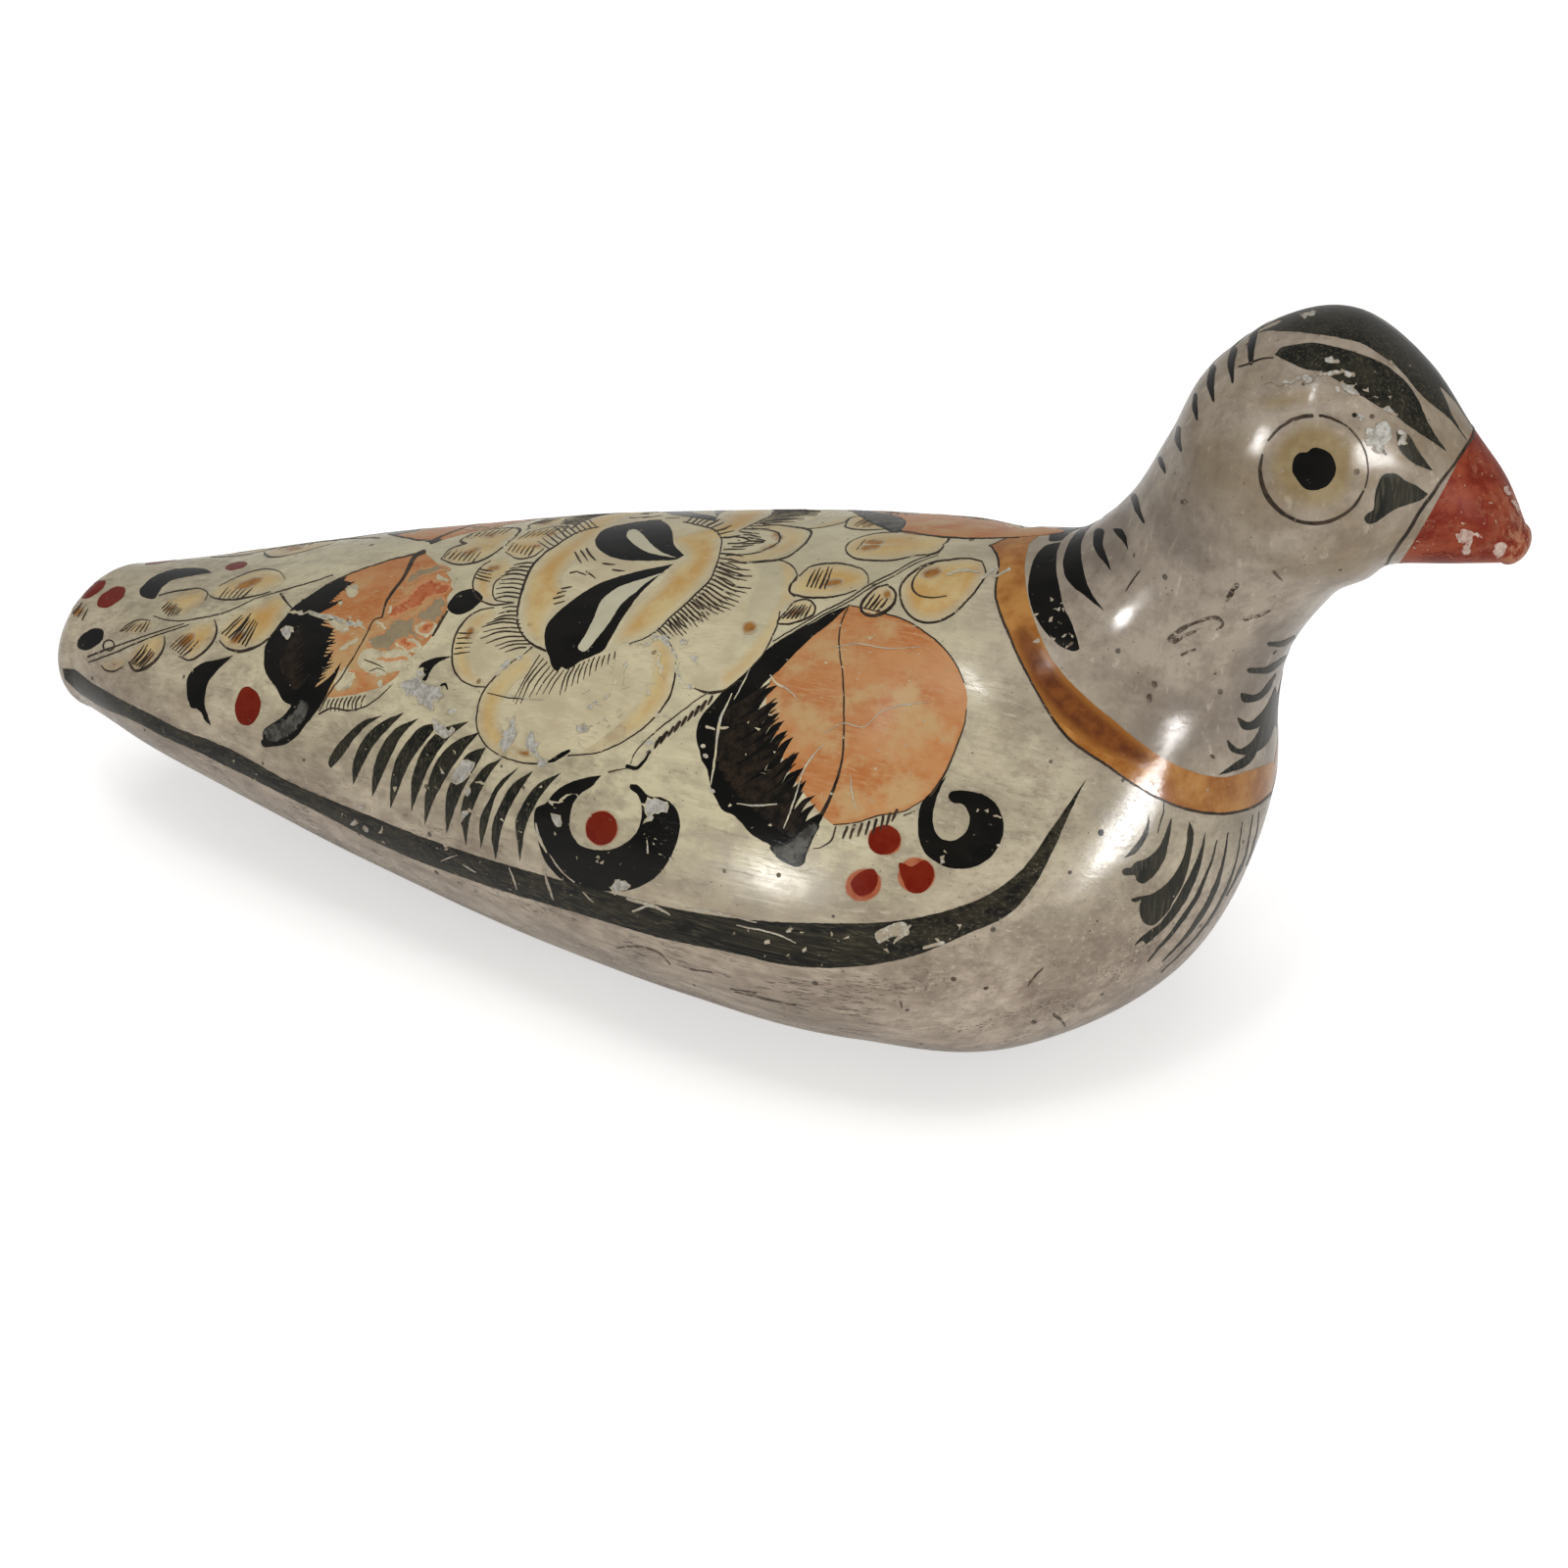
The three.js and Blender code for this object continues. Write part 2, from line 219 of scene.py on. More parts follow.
smooth_grid = form_grid(places)
form_shift = cad_box[0][0] / mm - smooth_grid[:, :, 0].min()
smooth_normals = outward_normals(places)
moves = np.array([swell(point) for point in smooth_grid.reshape(-1, 3)]).reshape(len(places), columns)
moves[smooth_grid[:, :, 2] < 0.02] = 0.0  # the worn flat stays flat
skin_grid = smooth_grid + smooth_normals * moves[:, :, None]
skin_grid[:, :, 2] = np.maximum(skin_grid[:, :, 2], 0.0)
skin_grid[:, :, 0] += form_shift

# The firing vent, sunk in the underside behind the flat that the bird rests on
vent_place, vent_radius, vent_depth = -62 + form_shift, 3.5, 4.8  # mm
rim_inwards, rim_outwards = 0.4, 0.75  # mm: points this close to the rim are drawn onto it
from_vent = skin_grid[:, :, :2] - (vent_place, 0)
vent_reach = np.linalg.norm(from_vent, axis=2)
under = smooth_normals[:, :, 2] < 0
vent_hole = under & (vent_reach < vent_radius - rim_inwards)
vent_rim = under & ~vent_hole & (vent_reach < vent_radius + rim_outwards)
skin_grid[vent_rim, :2] = (vent_place, 0) + from_vent[vent_rim] / vent_reach[vent_rim, None] * vent_radius
skin_grid[vent_hole, 2] += vent_depth


def grid_normals(grid):
    """Smooth normals of the moved points, from their neighbours on each side."""
    around = np.roll(grid, -1, axis=1) - np.roll(grid, 1, axis=1)
    ahead = np.gradient(grid, axis=0)
    normal = np.cross(ahead, around)
    length = np.linalg.norm(normal, axis=2, keepdims=True)
    return np.where(length > 1e-6, normal / np.maximum(length, 1e-6), smooth_normals)


skin_normals = grid_normals(skin_grid)
print("grid:", skin_grid.shape[:2], "shift along the bird in mm:", round(form_shift, 3))


# %% [markdown]
# ## The clay pieces
# Each moulded piece is a real shell with an outer face, an inner face 5 mm further in and a rim
# all round, because the bird is hollow. The inner face is never seen, so it takes only every
# fourth point of the grid. The normals come from the shared grid, so no seam shows in the shine.

# %% Building a mesh
def new_piece(name, points_mm, faces, material, normals=None, body="root", nodes=()):
    """A mesh object in the row frame that rides on a body. Zero normals are left to Blender."""
    mesh = bpy.data.meshes.new(name)
    mesh.from_pydata([Vector(p) * mm for p in points_mm], [], faces)
    mesh.shade_smooth()
    if normals is not None:
        mesh.normals_split_custom_set_from_vertices(normals)
    piece = bpy.data.objects.new(name, mesh)
    scene.collection.objects.link(piece)
    mesh.materials.append(material)
    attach(piece, body)
    if nodes:
        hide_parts(*nodes)
    return piece


class Skin:
    """Collects the points of a shell, so that equal grid points are made only once."""

    def __init__(self, inner_grid):
        self.grids = {"outer": skin_grid, "inner": inner_grid}
        self.index = {}
        self.points = []
        self.normals = []
        self.faces = []

    def point(self, face, row, column):
        column %= columns
        pole = row in (0, len(places) - 1)
        key = (face, row, 0 if pole else column)
        if key not in self.index:
            self.index[key] = len(self.points)
            self.points.append(self.grids[face][row, key[2]])
            self.normals.append(skin_normals[row, key[2]] * (1 if face == "outer" else 0))
        return self.index[key]

    def add(self, *corners):
        ring = [corner for i, corner in enumerate(corners) if corner != corners[i - 1]]
        if len(ring) > 2:
            self.faces.append(ring)

    def sheet(self, face, first_row, last_row, first_column, last_column):
        step = 1 if face == "outer" else inner_every
        for row in range(first_row, last_row, step):
            for column in range(first_column, last_column, step):
                ring = [self.point(face, row, column), self.point(face, row + step, column),
                        self.point(face, row + step, column + step), self.point(face, row, column + step)]
                self.add(*(ring if face == "outer" else ring[::-1]))

    def rim(self, edge):
        """Joins the fine outer edge to the coarse inner one along a list of (row, column)."""
        for start in range(0, len(edge) - 1, inner_every):
            inner = [self.point("inner", *edge[start]), self.point("inner", *edge[start + inner_every])]
            outer = [self.point("outer", *spot) for spot in edge[start:start + inner_every + 1]]
            half = inner_every // 2
            for k, (a, b) in enumerate(zip(outer, outer[1:])):
                self.add(b, a, inner[0 if k < half else 1])
            self.add(outer[half], inner[0], inner[1])


def shell_piece(name, first_row, last_row, first_column, last_column, material, node):
    skin = Skin(inner_grid)
    box = (first_row, last_row, first_column, last_column)
    skin.sheet("outer", *box)
    skin.sheet("inner", *box)
    rows_up = list(range(first_row, last_row + 1))
    columns_up = list(range(first_column, last_column + 1))
    skin.rim([(row, first_column) for row in reversed(rows_up)])
    skin.rim([(row, last_column) for row in rows_up])
    skin.rim([(last_row, column) for column in reversed(columns_up)])
    if first_row > 0:
        skin.rim([(first_row, column) for column in columns_up])
    piece = new_piece(name, skin.points, skin.faces, material, skin.normals, nodes=(node,))
    print(name, len(skin.points), "points", len(skin.faces), "faces")
    return piece


inner_grid = form_grid(places, inset=wall)
inner_grid[:, :, 0] += form_shift

# %% [markdown]
# ## Colours and materials
# Slip is fine clay in water, coloured with earths: white clay with a little ochre for the ground,
# iron oxide for the reds, manganese and iron for the black. Colours are written as sRGB hex and
# turned to Blender's linear values in one place. One small function adds a node, sets it up and
# links it, so a material reads from top to bottom like a recipe.

# %% Colour and node helpers
def linear(hex_colour):
    """An sRGB hex colour such as C8BFA6 as linear red, green, blue and alpha."""
    parts = [int(hex_colour[i:i + 2], 16) / 255 for i in (0, 2, 4)]
    return (*[c / 12.92 if c <= 0.04045 else ((c + 0.055) / 1.055) ** 2.4 for c in parts], 1.0)


def add_node(tree, kind, *values, out=0, **settings):
    """Adds a node and gives back one of its outputs, by number or name. values fill its sockets in
    order, or a dict names them. A value is a number, a hex colour or another node's output."""
    node = tree.nodes.new(kind if kind.startswith("Node") else "ShaderNode" + kind)
    for name, value in settings.items():
        setattr(node, name, value)
    for i, given in enumerate(values):
        for name, value in (given if isinstance(given, dict) else {i: given}).items():
            if isinstance(value, bpy.types.NodeSocket):
                tree.links.new(value, node.inputs[name])
            else:
                node.inputs[name].default_value = linear(value) if isinstance(value, str) else value
    return node.outputs[out] if node.outputs else node


def new_material(name):
    material = bpy.data.materials.new(name)
    material.use_nodes = True
    material.node_tree.nodes.clear()
    return material


smooth = {"interpolation_type": "SMOOTHSTEP"}  # for a MapRange: value, from, to, and what these become
product, scaled_sum, larger = ({"operation": kind} for kind in ("MULTIPLY", "MULTIPLY_ADD", "MAXIMUM"))
in_colour = {"data_type": "RGBA", "out": 2}  # for a Mix: 0 is the factor, 6 and 7 are the colours

# %% [markdown]
# ## Burnished cream slip
# The ground is a thin cream slip rubbed with a smooth stone, so it shines but is never a mirror.
# Faint streaks follow the stone, along the body and up the neck. Darker clay shows through where
# the slip is thin, and pits and dark specks break it up. The back is the creamiest and the neck is
# greyer and pinker. The belly is greyer, pinker and darker: partly its own colour, partly painted
# shade. Fired clay is a dielectric with an IOR near 1.5, a little less here because the slip is
# porous. The ground is a node group, because the paints use it again wherever they are worn through.

# %% A node group for the ground, and patterns with a size in millimetres
def place_in_mm(tree):
    place = add_node(tree, "TexCoord", out="Object")
    return add_node(tree, "VectorMath", {0: place, "Scale": 1 / mm}, operation="SCALE")


def noise_of(tree, place, size_mm, detail=2.0, stretch=(1, 1, 1), rough=0.5):
    """Noise from 0 to 1 with blobs of about size_mm, drawn out by stretch."""
    scaled = add_node(tree, "VectorMath", place, [1 / (size_mm * s) for s in stretch], **product)
    return add_node(tree, "TexNoise", {"Vector": scaled, "Scale": 1.0, "Detail": detail, "Roughness": rough})


ground = bpy.data.node_groups.new("burnished_ground", "ShaderNodeTree")
for socket, kind in (("Colour", "Color"), ("Roughness", "Float"), ("Height", "Float")):
    ground.interface.new_socket(socket, in_out="OUTPUT", socket_type="NodeSocket" + kind)
add = partial(add_node, ground)
place = place_in_mm(ground)
blobs = partial(noise_of, ground, place)

# %% Where the belly, the neck and the head are
x, y, z = add("SeparateXYZ", place).node.outputs
up_the_neck = add("Math", x, 0.62, add("Math", z, 0.785, **product), **scaled_sum)
neckness = add("MapRange", up_the_neck, 104, 124, **smooth)
headness = add("MapRange", up_the_neck, 142, 166, **smooth)
lowness = add("MapRange", z, 64, 30, **smooth)
frontness = add("Math", neckness, add("MapRange", x, 34, 78, **smooth), **larger)
# Darker mottles and streaks gather towards the front and towards the bottom.
front_and_low_share = add("Math", frontness, add("MapRange", z, 84, 56, 0.3, 1.0, **smooth), **larger)

# %% The ground's colour
clouds = add("MapRange", blobs(15, 5, (1.7, 1, 1), 0.55), 0.38, 0.64, **smooth)
mottles = add("MapRange", blobs(4.2, 7, (1.3, 1, 1), 0.72), 0.42, 0.64, **smooth)
streaks = add("Mix", {0: neckness, 2: blobs(0.8, 4, (18, 1, 1), 0.62), 3: blobs(2.2, 6, (1, 1, 2.5), 0.7)})
bands = add("MapRange", blobs(2.6, 3, (11, 1, 1)), 0.42, 0.68, **smooth)
# The belly's colour is partly the clay's own greyer, pinker tone and partly painted shade, darker because the
# underside is turned from the light.
back_cream, belly_cream_and_painted_shade, neck_grey, head_buff = (
    add("Mix", {0: clouds, 6: pale, 7: deep}, **in_colour) for pale, deep in (
        ("B3AA8C", "A39A7F"), ("A59786", "867869"), ("938879", "6F655A"), ("93887A", "7A6C57")))
breastness = add("Math", add("MapRange", x, 30, 84, **smooth), 0.55, **product)
front_colour = add("Mix", {0: headness, 6: neck_grey, 7: head_buff}, **in_colour)
colour = back_cream
for share, over in (
        (breastness, neck_grey), (lowness, belly_cream_and_painted_shade), (neckness, front_colour),
        (add("Math", mottles, add("Math", front_and_low_share, 0.44, **product), **product), "63564A"),
        (add("Math", add("Math", bands, lowness, **product), 0.42, **product), "67564A"),
        (add("Math", add("MapRange", streaks, 0.50, 0.74, 0, 0.36, **smooth), front_and_low_share, **product), "54473A"),
        (add("MapRange", streaks, 0.43, 0.29, 0, 0.4, **smooth), "B9B09C")):
    colour = add("Mix", {0: share, 6: colour, 7: over}, **in_colour)

# %% [markdown]
# On top come the small accidents: dark specks of iron, pits of many sizes, and fine cracks that run
# with the stone, most of them low on the belly where the bird has been slid about.

# %% Its specks, pits and cracks
specks = add("MapRange", blobs(0.7, 1), 0.745, 0.785, **smooth)
pit_cells = add("TexVoronoi", {"Vector": place, "Scale": 0.17, "Randomness": 1.0}).node.outputs
pit_size = add("Math", pit_cells["Distance"], add("SeparateColor", pit_cells["Color"]), operation="DIVIDE")
pits = add("MapRange", pit_size, 0.13, 0.08, **smooth)
crack_ways = add("MapRange", blobs(0.42, 3, (12, 1, 1), 0.6), 0.575, 0.625, **smooth)
crack_places = add("MapRange", blobs(9, 2, (1.6, 1, 1)), 0.50, 0.60, **smooth)
low_down = add("MapRange", z, 46, 30, 0.12, 1.0, **smooth)
cracks = add("Math", crack_ways, add("Math", crack_places, low_down, **product), **product)
for accident, strength, over in (specks, 0.75, "40372D"), (pits, 0.8, "2C251F"), (cracks, 0.7, "362D26"):
    share = add("Math", accident, strength, **product)
    colour = add("Mix", {0: share, 6: colour, 7: over}, **in_colour)

# %% Its gloss and height
polish = add("MapRange", frontness, 0, 1, 0.13, 0.05, **smooth)
roughness = add("Math", mottles, 0.08, add("Math", streaks, 0.2, polish, **scaled_sum), **scaled_sum)
roughness = add("Math", roughness, add("Math", pits, 0.7, **product), **larger)
swells = add("Math", blobs(3.4, 3, (1.6, 1, 1)), 0.055, add("Math", streaks, 0.014, **product), **scaled_sum)
height = add("Math", add("Math", pits, cracks, **larger), -0.10, swells, **scaled_sum)
add("NodeGroupOutput", {"Colour": colour, "Roughness": roughness, "Height": height})
print("nodes in the ground:", len(ground.nodes))


# %% The slips that show
def finish(material, colour, roughness, height, ior=1.4):
    """Ends a material: a dielectric with the given colour, roughness and height in mm."""
    tree = material.node_tree
    bump = add_node(tree, "Bump", {"Height": height, "Strength": 1.0, "Distance": mm})
    shader = add_node(tree, "BsdfPrincipled", {
        "Base Color": colour, "Roughness": roughness, "IOR": ior, "Normal": bump})
    add_node(tree, "OutputMaterial", {"Surface": shader})
    return material


def ground_of(material):
    """The ground's colour, roughness and height, for a material that it shows in."""
    return list(add_node(material.node_tree, "Group", node_tree=ground).node.outputs)[:3]


cream = new_material("burnished_cream_slip")
finish(cream, *ground_of(cream))

# %% [markdown]
# The beak's slip is red iron oxide. It is fired clay too, darker where it lies thick and scuffed to
# a pinker, chalkier red where things have rubbed against it.

# %% The beak's red
beak_red = new_material("burnished_red_slip")
add = partial(add_node, beak_red.node_tree)
place = place_in_mm(beak_red.node_tree)
blobs = partial(noise_of, beak_red.node_tree, place)
thick = add("MapRange", blobs(4.5, 5, (1, 1, 1), 0.65), 0.38, 0.62, **smooth)
scuffs = add("MapRange", blobs(2.4, 6, (2, 1, 1), 0.74), 0.52, 0.70, **smooth)
flecks = add("MapRange", blobs(0.9, 3, (1, 1, 1), 0.6), 0.66, 0.71, **smooth)
tip = add("MapRange", add("SeparateXYZ", place), 142, 148, **smooth)
worn_tip = add("Math", tip, add("MapRange", blobs(1.8, 5, (1, 1, 1), 0.7), 0.42, 0.58, **smooth), **product)
red = add("Mix", {0: thick, 6: "7E3A25", 7: "641F12"}, **in_colour)
for share, over in ((add("Math", scuffs, 0.6, **product), "8F5A43"), (flecks, "A08C78"),
                    (add("Math", worn_tip, 0.6, **product), "A87B60")):
    red = add("Mix", {0: share, 6: red, 7: over}, **in_colour)
dents = add("Math", add("Math", scuffs, flecks, operation="ADD"), -0.05, **product)
finish(beak_red, red, add("MapRange", scuffs, 0, 1, 0.36, 0.55, **smooth), dents, 1.2)

# %% [markdown]
# Inside, where the luting rolls are, the clay is bare: orange-brown, matt and full of grog.

# %% Bare fired clay
raw_clay = new_material("bare_fired_clay")
add = partial(add_node, raw_clay.node_tree)
grog = noise_of(raw_clay.node_tree, place_in_mm(raw_clay.node_tree), 0.8, 3, (1, 1, 1), 0.7)
clay = add("Mix", {0: add("MapRange", grog, 0.35, 0.7, **smooth), 6: "A9744F", 7: "7E5135"}, **in_colour)
finish(raw_clay, clay, add("MapRange", grog, 0.3, 0.7, 0.8, 0.95, **smooth),
       add("Math", grog, 0.15, **product))

# %% [markdown]
# ## The painter's slips
# Every paint is a thin slip over the cream, so its colour varies with its thickness, streaks follow
# the brush, and small flecks have worn through to the ground. A film knows how far a point lies
# from its edge, which lets a wash fade towards its outline and a chip end in a torn edge.

# %% One recipe for all the paints
wash, spot, body_coat, fine_coat, top_coat = 0.03, 0.045, 0.06, 0.075, 0.09  # mm proud
coats = {}  # how proud each paint lies, and its slot


def slip_paint(name, thick, thin, worn=0.1, streak=(1, 1, 1), size_mm=5.0, soft=0.0, ragged=0.0, dry="",
               pool="", on="", gloss=0.3, ior=1.25, lift=body_coat, slot="grey_slip"):
    """A painted slip. worn is the share worn away, dry the colour between bristles, pool where it ran
    together, on the paint it lies on, soft and ragged the fading and torn edge in pixels."""
    coats[name] = lift, slot
    paint_material = new_material(name)
    tree = paint_material.node_tree
    add = partial(add_node, tree)
    blobs = partial(noise_of, tree, place_in_mm(tree))
    under, rough_under, height = ground_of(paint_material)
    pooled = blobs(size_mm, 4, streak, 0.62)
    colour = add("Mix", {0: add("MapRange", pooled, 0.34, 0.66, **smooth), 6: thick, 7: thin}, **in_colour)
    if dry:
        bristles = blobs(0.45, 4, [1 if s == 1 else 6 * s for s in streak], 0.6)
        share = add("MapRange", bristles, 0.48, 0.68, **smooth)
        colour = add("Mix", {0: share, 6: colour, 7: dry}, **in_colour)
    edge = add("Attribute", attribute_name="from_edge", out="Fac")
    if pool:
        run = add("MapRange", blobs(13, 5, (1, 1, 1), 0.65), 0.44, 0.60, **smooth)
        share = add("Math", run, add("MapRange", edge, 0, 7, **smooth), **product)
        colour = add("Mix", {0: share, 6: colour, 7: pool}, **in_colour)
    kept = add("MapRange", blobs(1.5, 6, (1.6, 1, 1), 0.72), 0.74 - 0.3 * worn, 0.70 - 0.3 * worn, **smooth)
    if soft:
        shaken = add("Math", add("Math", pooled, 0.5, operation="SUBTRACT"), 1.6 * soft, edge, **scaled_sum)
        faded = add("MapRange", shaken, -0.1 * soft, soft, 0.15, 1.0, **smooth)
        kept = add("Math", kept, faded, **product)
    if ragged:
        from_tear = add("Math", edge, 3 * ragged, operation="SUBTRACT")
        shaken = add("Math", blobs(1.3, 6, (1.3, 1, 1), 0.75), 5 * ragged, from_tear, **scaled_sum)
        kept = add("Math", kept, add("MapRange", shaken, 0, 0.8, **smooth), **product)
    colour = add("Mix", {0: kept, 6: on or under, 7: colour}, **in_colour)
    roughness = add("Mix", {0: kept, 2: rough_under, 3: add("Math", pooled, 0.14, gloss - 0.09, **scaled_sum)})
    return finish(paint_material, colour, roughness, add("Math", kept, 0.02, height, **scaled_sum), ior)


# %% Its blacks, from manganese and iron
black_slip = slip_paint("manganese_black_slip", "050504", "0F0D09", worn=0.14, streak=(3, 1, 1), gloss=0.22)
thin_black = slip_paint("thin_brownish_black_slip", "0C0A07", "241B12", on="0A0907", size_mm=1.6,
                        gloss=0.28, lift=body_coat + 0.01)
# Grey over the black: on the right leaf's lower tip a painted reflection, a veil of sheen; elsewhere a grey
# smear.
black_smear_and_painted_sheen = slip_paint("black_smear_and_painted_sheen_slip", "2B2A26", "504E47", worn=0.4, size_mm=2, ragged=3,
                           on="12110E", lift=body_coat + 0.02)
upright_black = slip_paint("manganese_black_slip_brushed_upright", "0F100D", "25231B", worn=0.16,
                           streak=(1, 1, 3), dry="3A3629", gloss=0.26)
stripe_black = slip_paint("manganese_black_slip_drawn_out", "0A0A08", "28241A", worn=0.18, streak=(8, 1, 1),
                          size_mm=2.2, dry="3A3629", gloss=0.24)
fine_black = slip_paint("fine_brush_black_slip", "1C1611", "3A2E22", worn=0.3, size_mm=3, gloss=0.34,
                        lift=fine_coat)
rubbed_dirt = slip_paint("rubbed_in_dirt", "3C332B", "594C40", worn=0.6, size_mm=1.5, gloss=0.4,
                         lift=fine_coat)

# %% Its ochres, corals, reds and ambers
ochre_wash = slip_paint("pale_ochre_wash", "A5824A", "AF9C70", worn=0.12, size_mm=8, soft=12,
                        lift=wash, slot="cream_slip")
petal_cream = slip_paint("pale_yellow_cream_wash", "B4AA8C", "A2967A", worn=0.14, streak=(2, 1, 1),
                         size_mm=6, soft=6, dry="A59A7F", lift=wash * 0.5, slot="cream_slip")
ochre_spot = slip_paint("brown_ochre_slip", "6E4418", "8E6128", worn=0.12, size_mm=2.5, soft=4,
                        lift=spot, slot="red_slip")
coral_wash = slip_paint("coral_wash", "975A2E", "A47449", worn=0.22, streak=(1.6, 1, 1), size_mm=9,
                        dry="A1754D", pool="A2835A", lift=wash, slot="red_slip")
deep_coral = slip_paint("deep_coral_slip", "8E4424", "A05C38", worn=0.4, size_mm=1.6, ragged=4,
                        on="AC7850", lift=spot, slot="red_slip")
dot_red = slip_paint("brick_red_slip", "5C0E00", "641904", worn=0.1, size_mm=4, lift=spot, slot="red_slip")
dot_rim = slip_paint("thin_brick_red_rim", "86432A", "94583C", worn=0.2, size_mm=2.5, soft=2,
                     lift=spot, slot="red_slip")
amber_slip = slip_paint("amber_slip", "7E4A16", "9A6C34", worn=0.14, size_mm=6, gloss=0.15, ior=1.4,
                        lift=spot, slot="red_slip")
amber_pool = slip_paint("amber_slip_run_together", "4E2407", "6A3A10", worn=0.2, size_mm=3, soft=10,
                        on="86551F", gloss=0.15, ior=1.4, slot="red_slip")
eye_ochre = slip_paint("ochre_rubbed_round_the_eye", "746243", "827355", worn=0.25, size_mm=4, soft=14,
                       gloss=0.16, ior=1.4, lift=wash, slot="cream_slip")

# %% What shows where paint has worn or chipped off
bare_patch = slip_paint("worn_brown_ground", "776B54", "83765C", worn=0.2, size_mm=3, ragged=4,
                        on="A5764E", gloss=0.42, lift=fine_coat)
pale_slip = slip_paint("bare_cream_heart", "A9A48D", "A09A84", worn=0.1, size_mm=6, lift=top_coat,
                       slot="cream_slip")
worn_cream = slip_paint("cream_where_paint_has_gone", "B1A88E", "A2967A", worn=0.3, size_mm=2, ragged=5,
                        gloss=0.4, slot="cream_slip")
chip_grey = slip_paint("chalky_chipped_edge", "A5A29B", "7D796F", worn=0.25, size_mm=1.0, ragged=1,
                       gloss=0.6, lift=top_coat, slot="cream_slip")
chip_pink = slip_paint("chalky_chip_in_the_red", "AE9C90", "8F7468", worn=0.3, size_mm=1.2, ragged=1.5,
                       on="76301E", gloss=0.6, lift=top_coat, slot="cream_slip")
chalk_white = slip_paint("white_scratch", "ACA698", "8C867A", worn=0.75, size_mm=1.0, gloss=0.6,
                         lift=top_coat, slot="cream_slip")
print("paints:", len(coats))

# %% The five clay pieces and their inner rolls
quarter = columns // 4
shell_piece("back_skin", 0, collar_row, 0, 2 * quarter, cream, "back_shell")
shell_piece("belly_skin", 0, collar_row, 2 * quarter, 4 * quarter, cream, "belly_shell")
shell_piece("head_right_skin", collar_row, beak_row, 3 * quarter, 5 * quarter, cream,
            "head_right_half")
shell_piece("head_left_skin", collar_row, beak_row, quarter, 3 * quarter, cream,
            "head_left_half")

# %% [markdown]
# The beak is the one solid lump, so its skin is closed with a flat face where it is luted on.

# %% The beak
lump = Skin(inner_grid)
lump.sheet("outer", beak_row, len(places) - 1, 0, columns)
base_ring = [lump.point("outer", beak_row, column) for column in range(columns)]
middle = len(lump.points)
lump.points.append(np.mean([lump.points[i] for i in base_ring], axis=0))
lump.normals.append(np.zeros(3))
for a, b in zip(base_ring, base_ring[1:] + base_ring[:1]):
    lump.add(b, a, middle)
new_piece("beak_skin", lump.points, lump.faces, beak_red, lump.normals, nodes=("beak",))
for roll in ("body_seam_coil", "neck_seam_coil", "crown_seam_coil", "throat_seam_coil"):
    for material_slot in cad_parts[roll].material_slots:
        material_slot.material = raw_clay

# %% [markdown]
# ## The photographer's camera
# The photograph was taken from the bird's right, a little ahead of it and well above. The camera's
# angle and distance come from fitting the outline, and a 54 mm lens gives its perspective. It is
# set up before the painting, because each painted mark is thrown onto the clay along its rays.

# %% Camera
view_turn = math.radians(22.1)
view_height = math.radians(31.9)
view_distance = 469
aim = Vector((16.4 + form_shift, 0, 34.5))
lens = 54
sensor = 36
picture_size = 1600
looking = Vector((-math.sin(view_turn) * math.cos(view_height),
                  math.cos(view_turn) * math.cos(view_height), -math.sin(view_height)))
to_right = Vector((math.cos(view_turn), math.sin(view_turn), 0))
upwards = to_right.cross(looking)
eye = aim - looking * view_distance
camera = bpy.data.objects.new("camera", bpy.data.cameras.new("camera"))
scene.collection.objects.link(camera)
camera.data.lens = lens
camera.data.sensor_width = sensor
camera.data.clip_start = 0.01
camera.matrix_world = Matrix([
    [*v, p * mm] for v, p in zip(zip(to_right, upwards, -looking), eye)] + [[0, 0, 0, 1]])
scene.camera = camera
print("camera at, in mm:", [round(part, 1) for part in eye])

# %% [markdown]
# ## How the marks get onto the clay
# The painter drew with a soft brush of slip on a form curved in two directions. Each mark here is
# an outline read from an enlarged detail of the photograph. It is cut into small triangles,
# thrown along the camera's rays onto the skin and thickened to a film a few hundredths of a
# millimetre proud, with its edge tucked into the clay, so strokes stay crisp at any distance. A
# bird like this is painted alike on both sides, so the film is repeated mirrored.

# %% The skin as a target for the camera's rays
far_lens = picture_size * lens / sensor  # pixels from the eye to the picture
skin_points = [Vector(point) for point in skin_grid.reshape(-1, 3)]
skin_quads = [(row * columns + column, row * columns + (column + 1) % columns,
               (row + 1) * columns + (column + 1) % columns, (row + 1) * columns + column)
              for row in range(len(places) - 1) for column in range(columns)]
skin_tree = BVHTree.FromPolygons(skin_points, skin_quads)
vertex_normals = skin_normals.reshape(-1, 3)


def ray_through(pixel):
    across, down = pixel[0] - picture_size / 2, pixel[1] - picture_size / 2
    return (looking * far_lens + to_right * across - upwards * down).normalized()


def skin_normal(point, quad):
    """The smooth normal at a point on one of the skin's quads."""
    ring = skin_quads[quad]
    weights = np.array(poly_3d_calc([skin_points[i] for i in ring], point))
    normal = weights @ vertex_normals[list(ring)]
    size = np.linalg.norm(normal)
    return normal / size if size > 0.5 else vertex_normals[ring[0]]


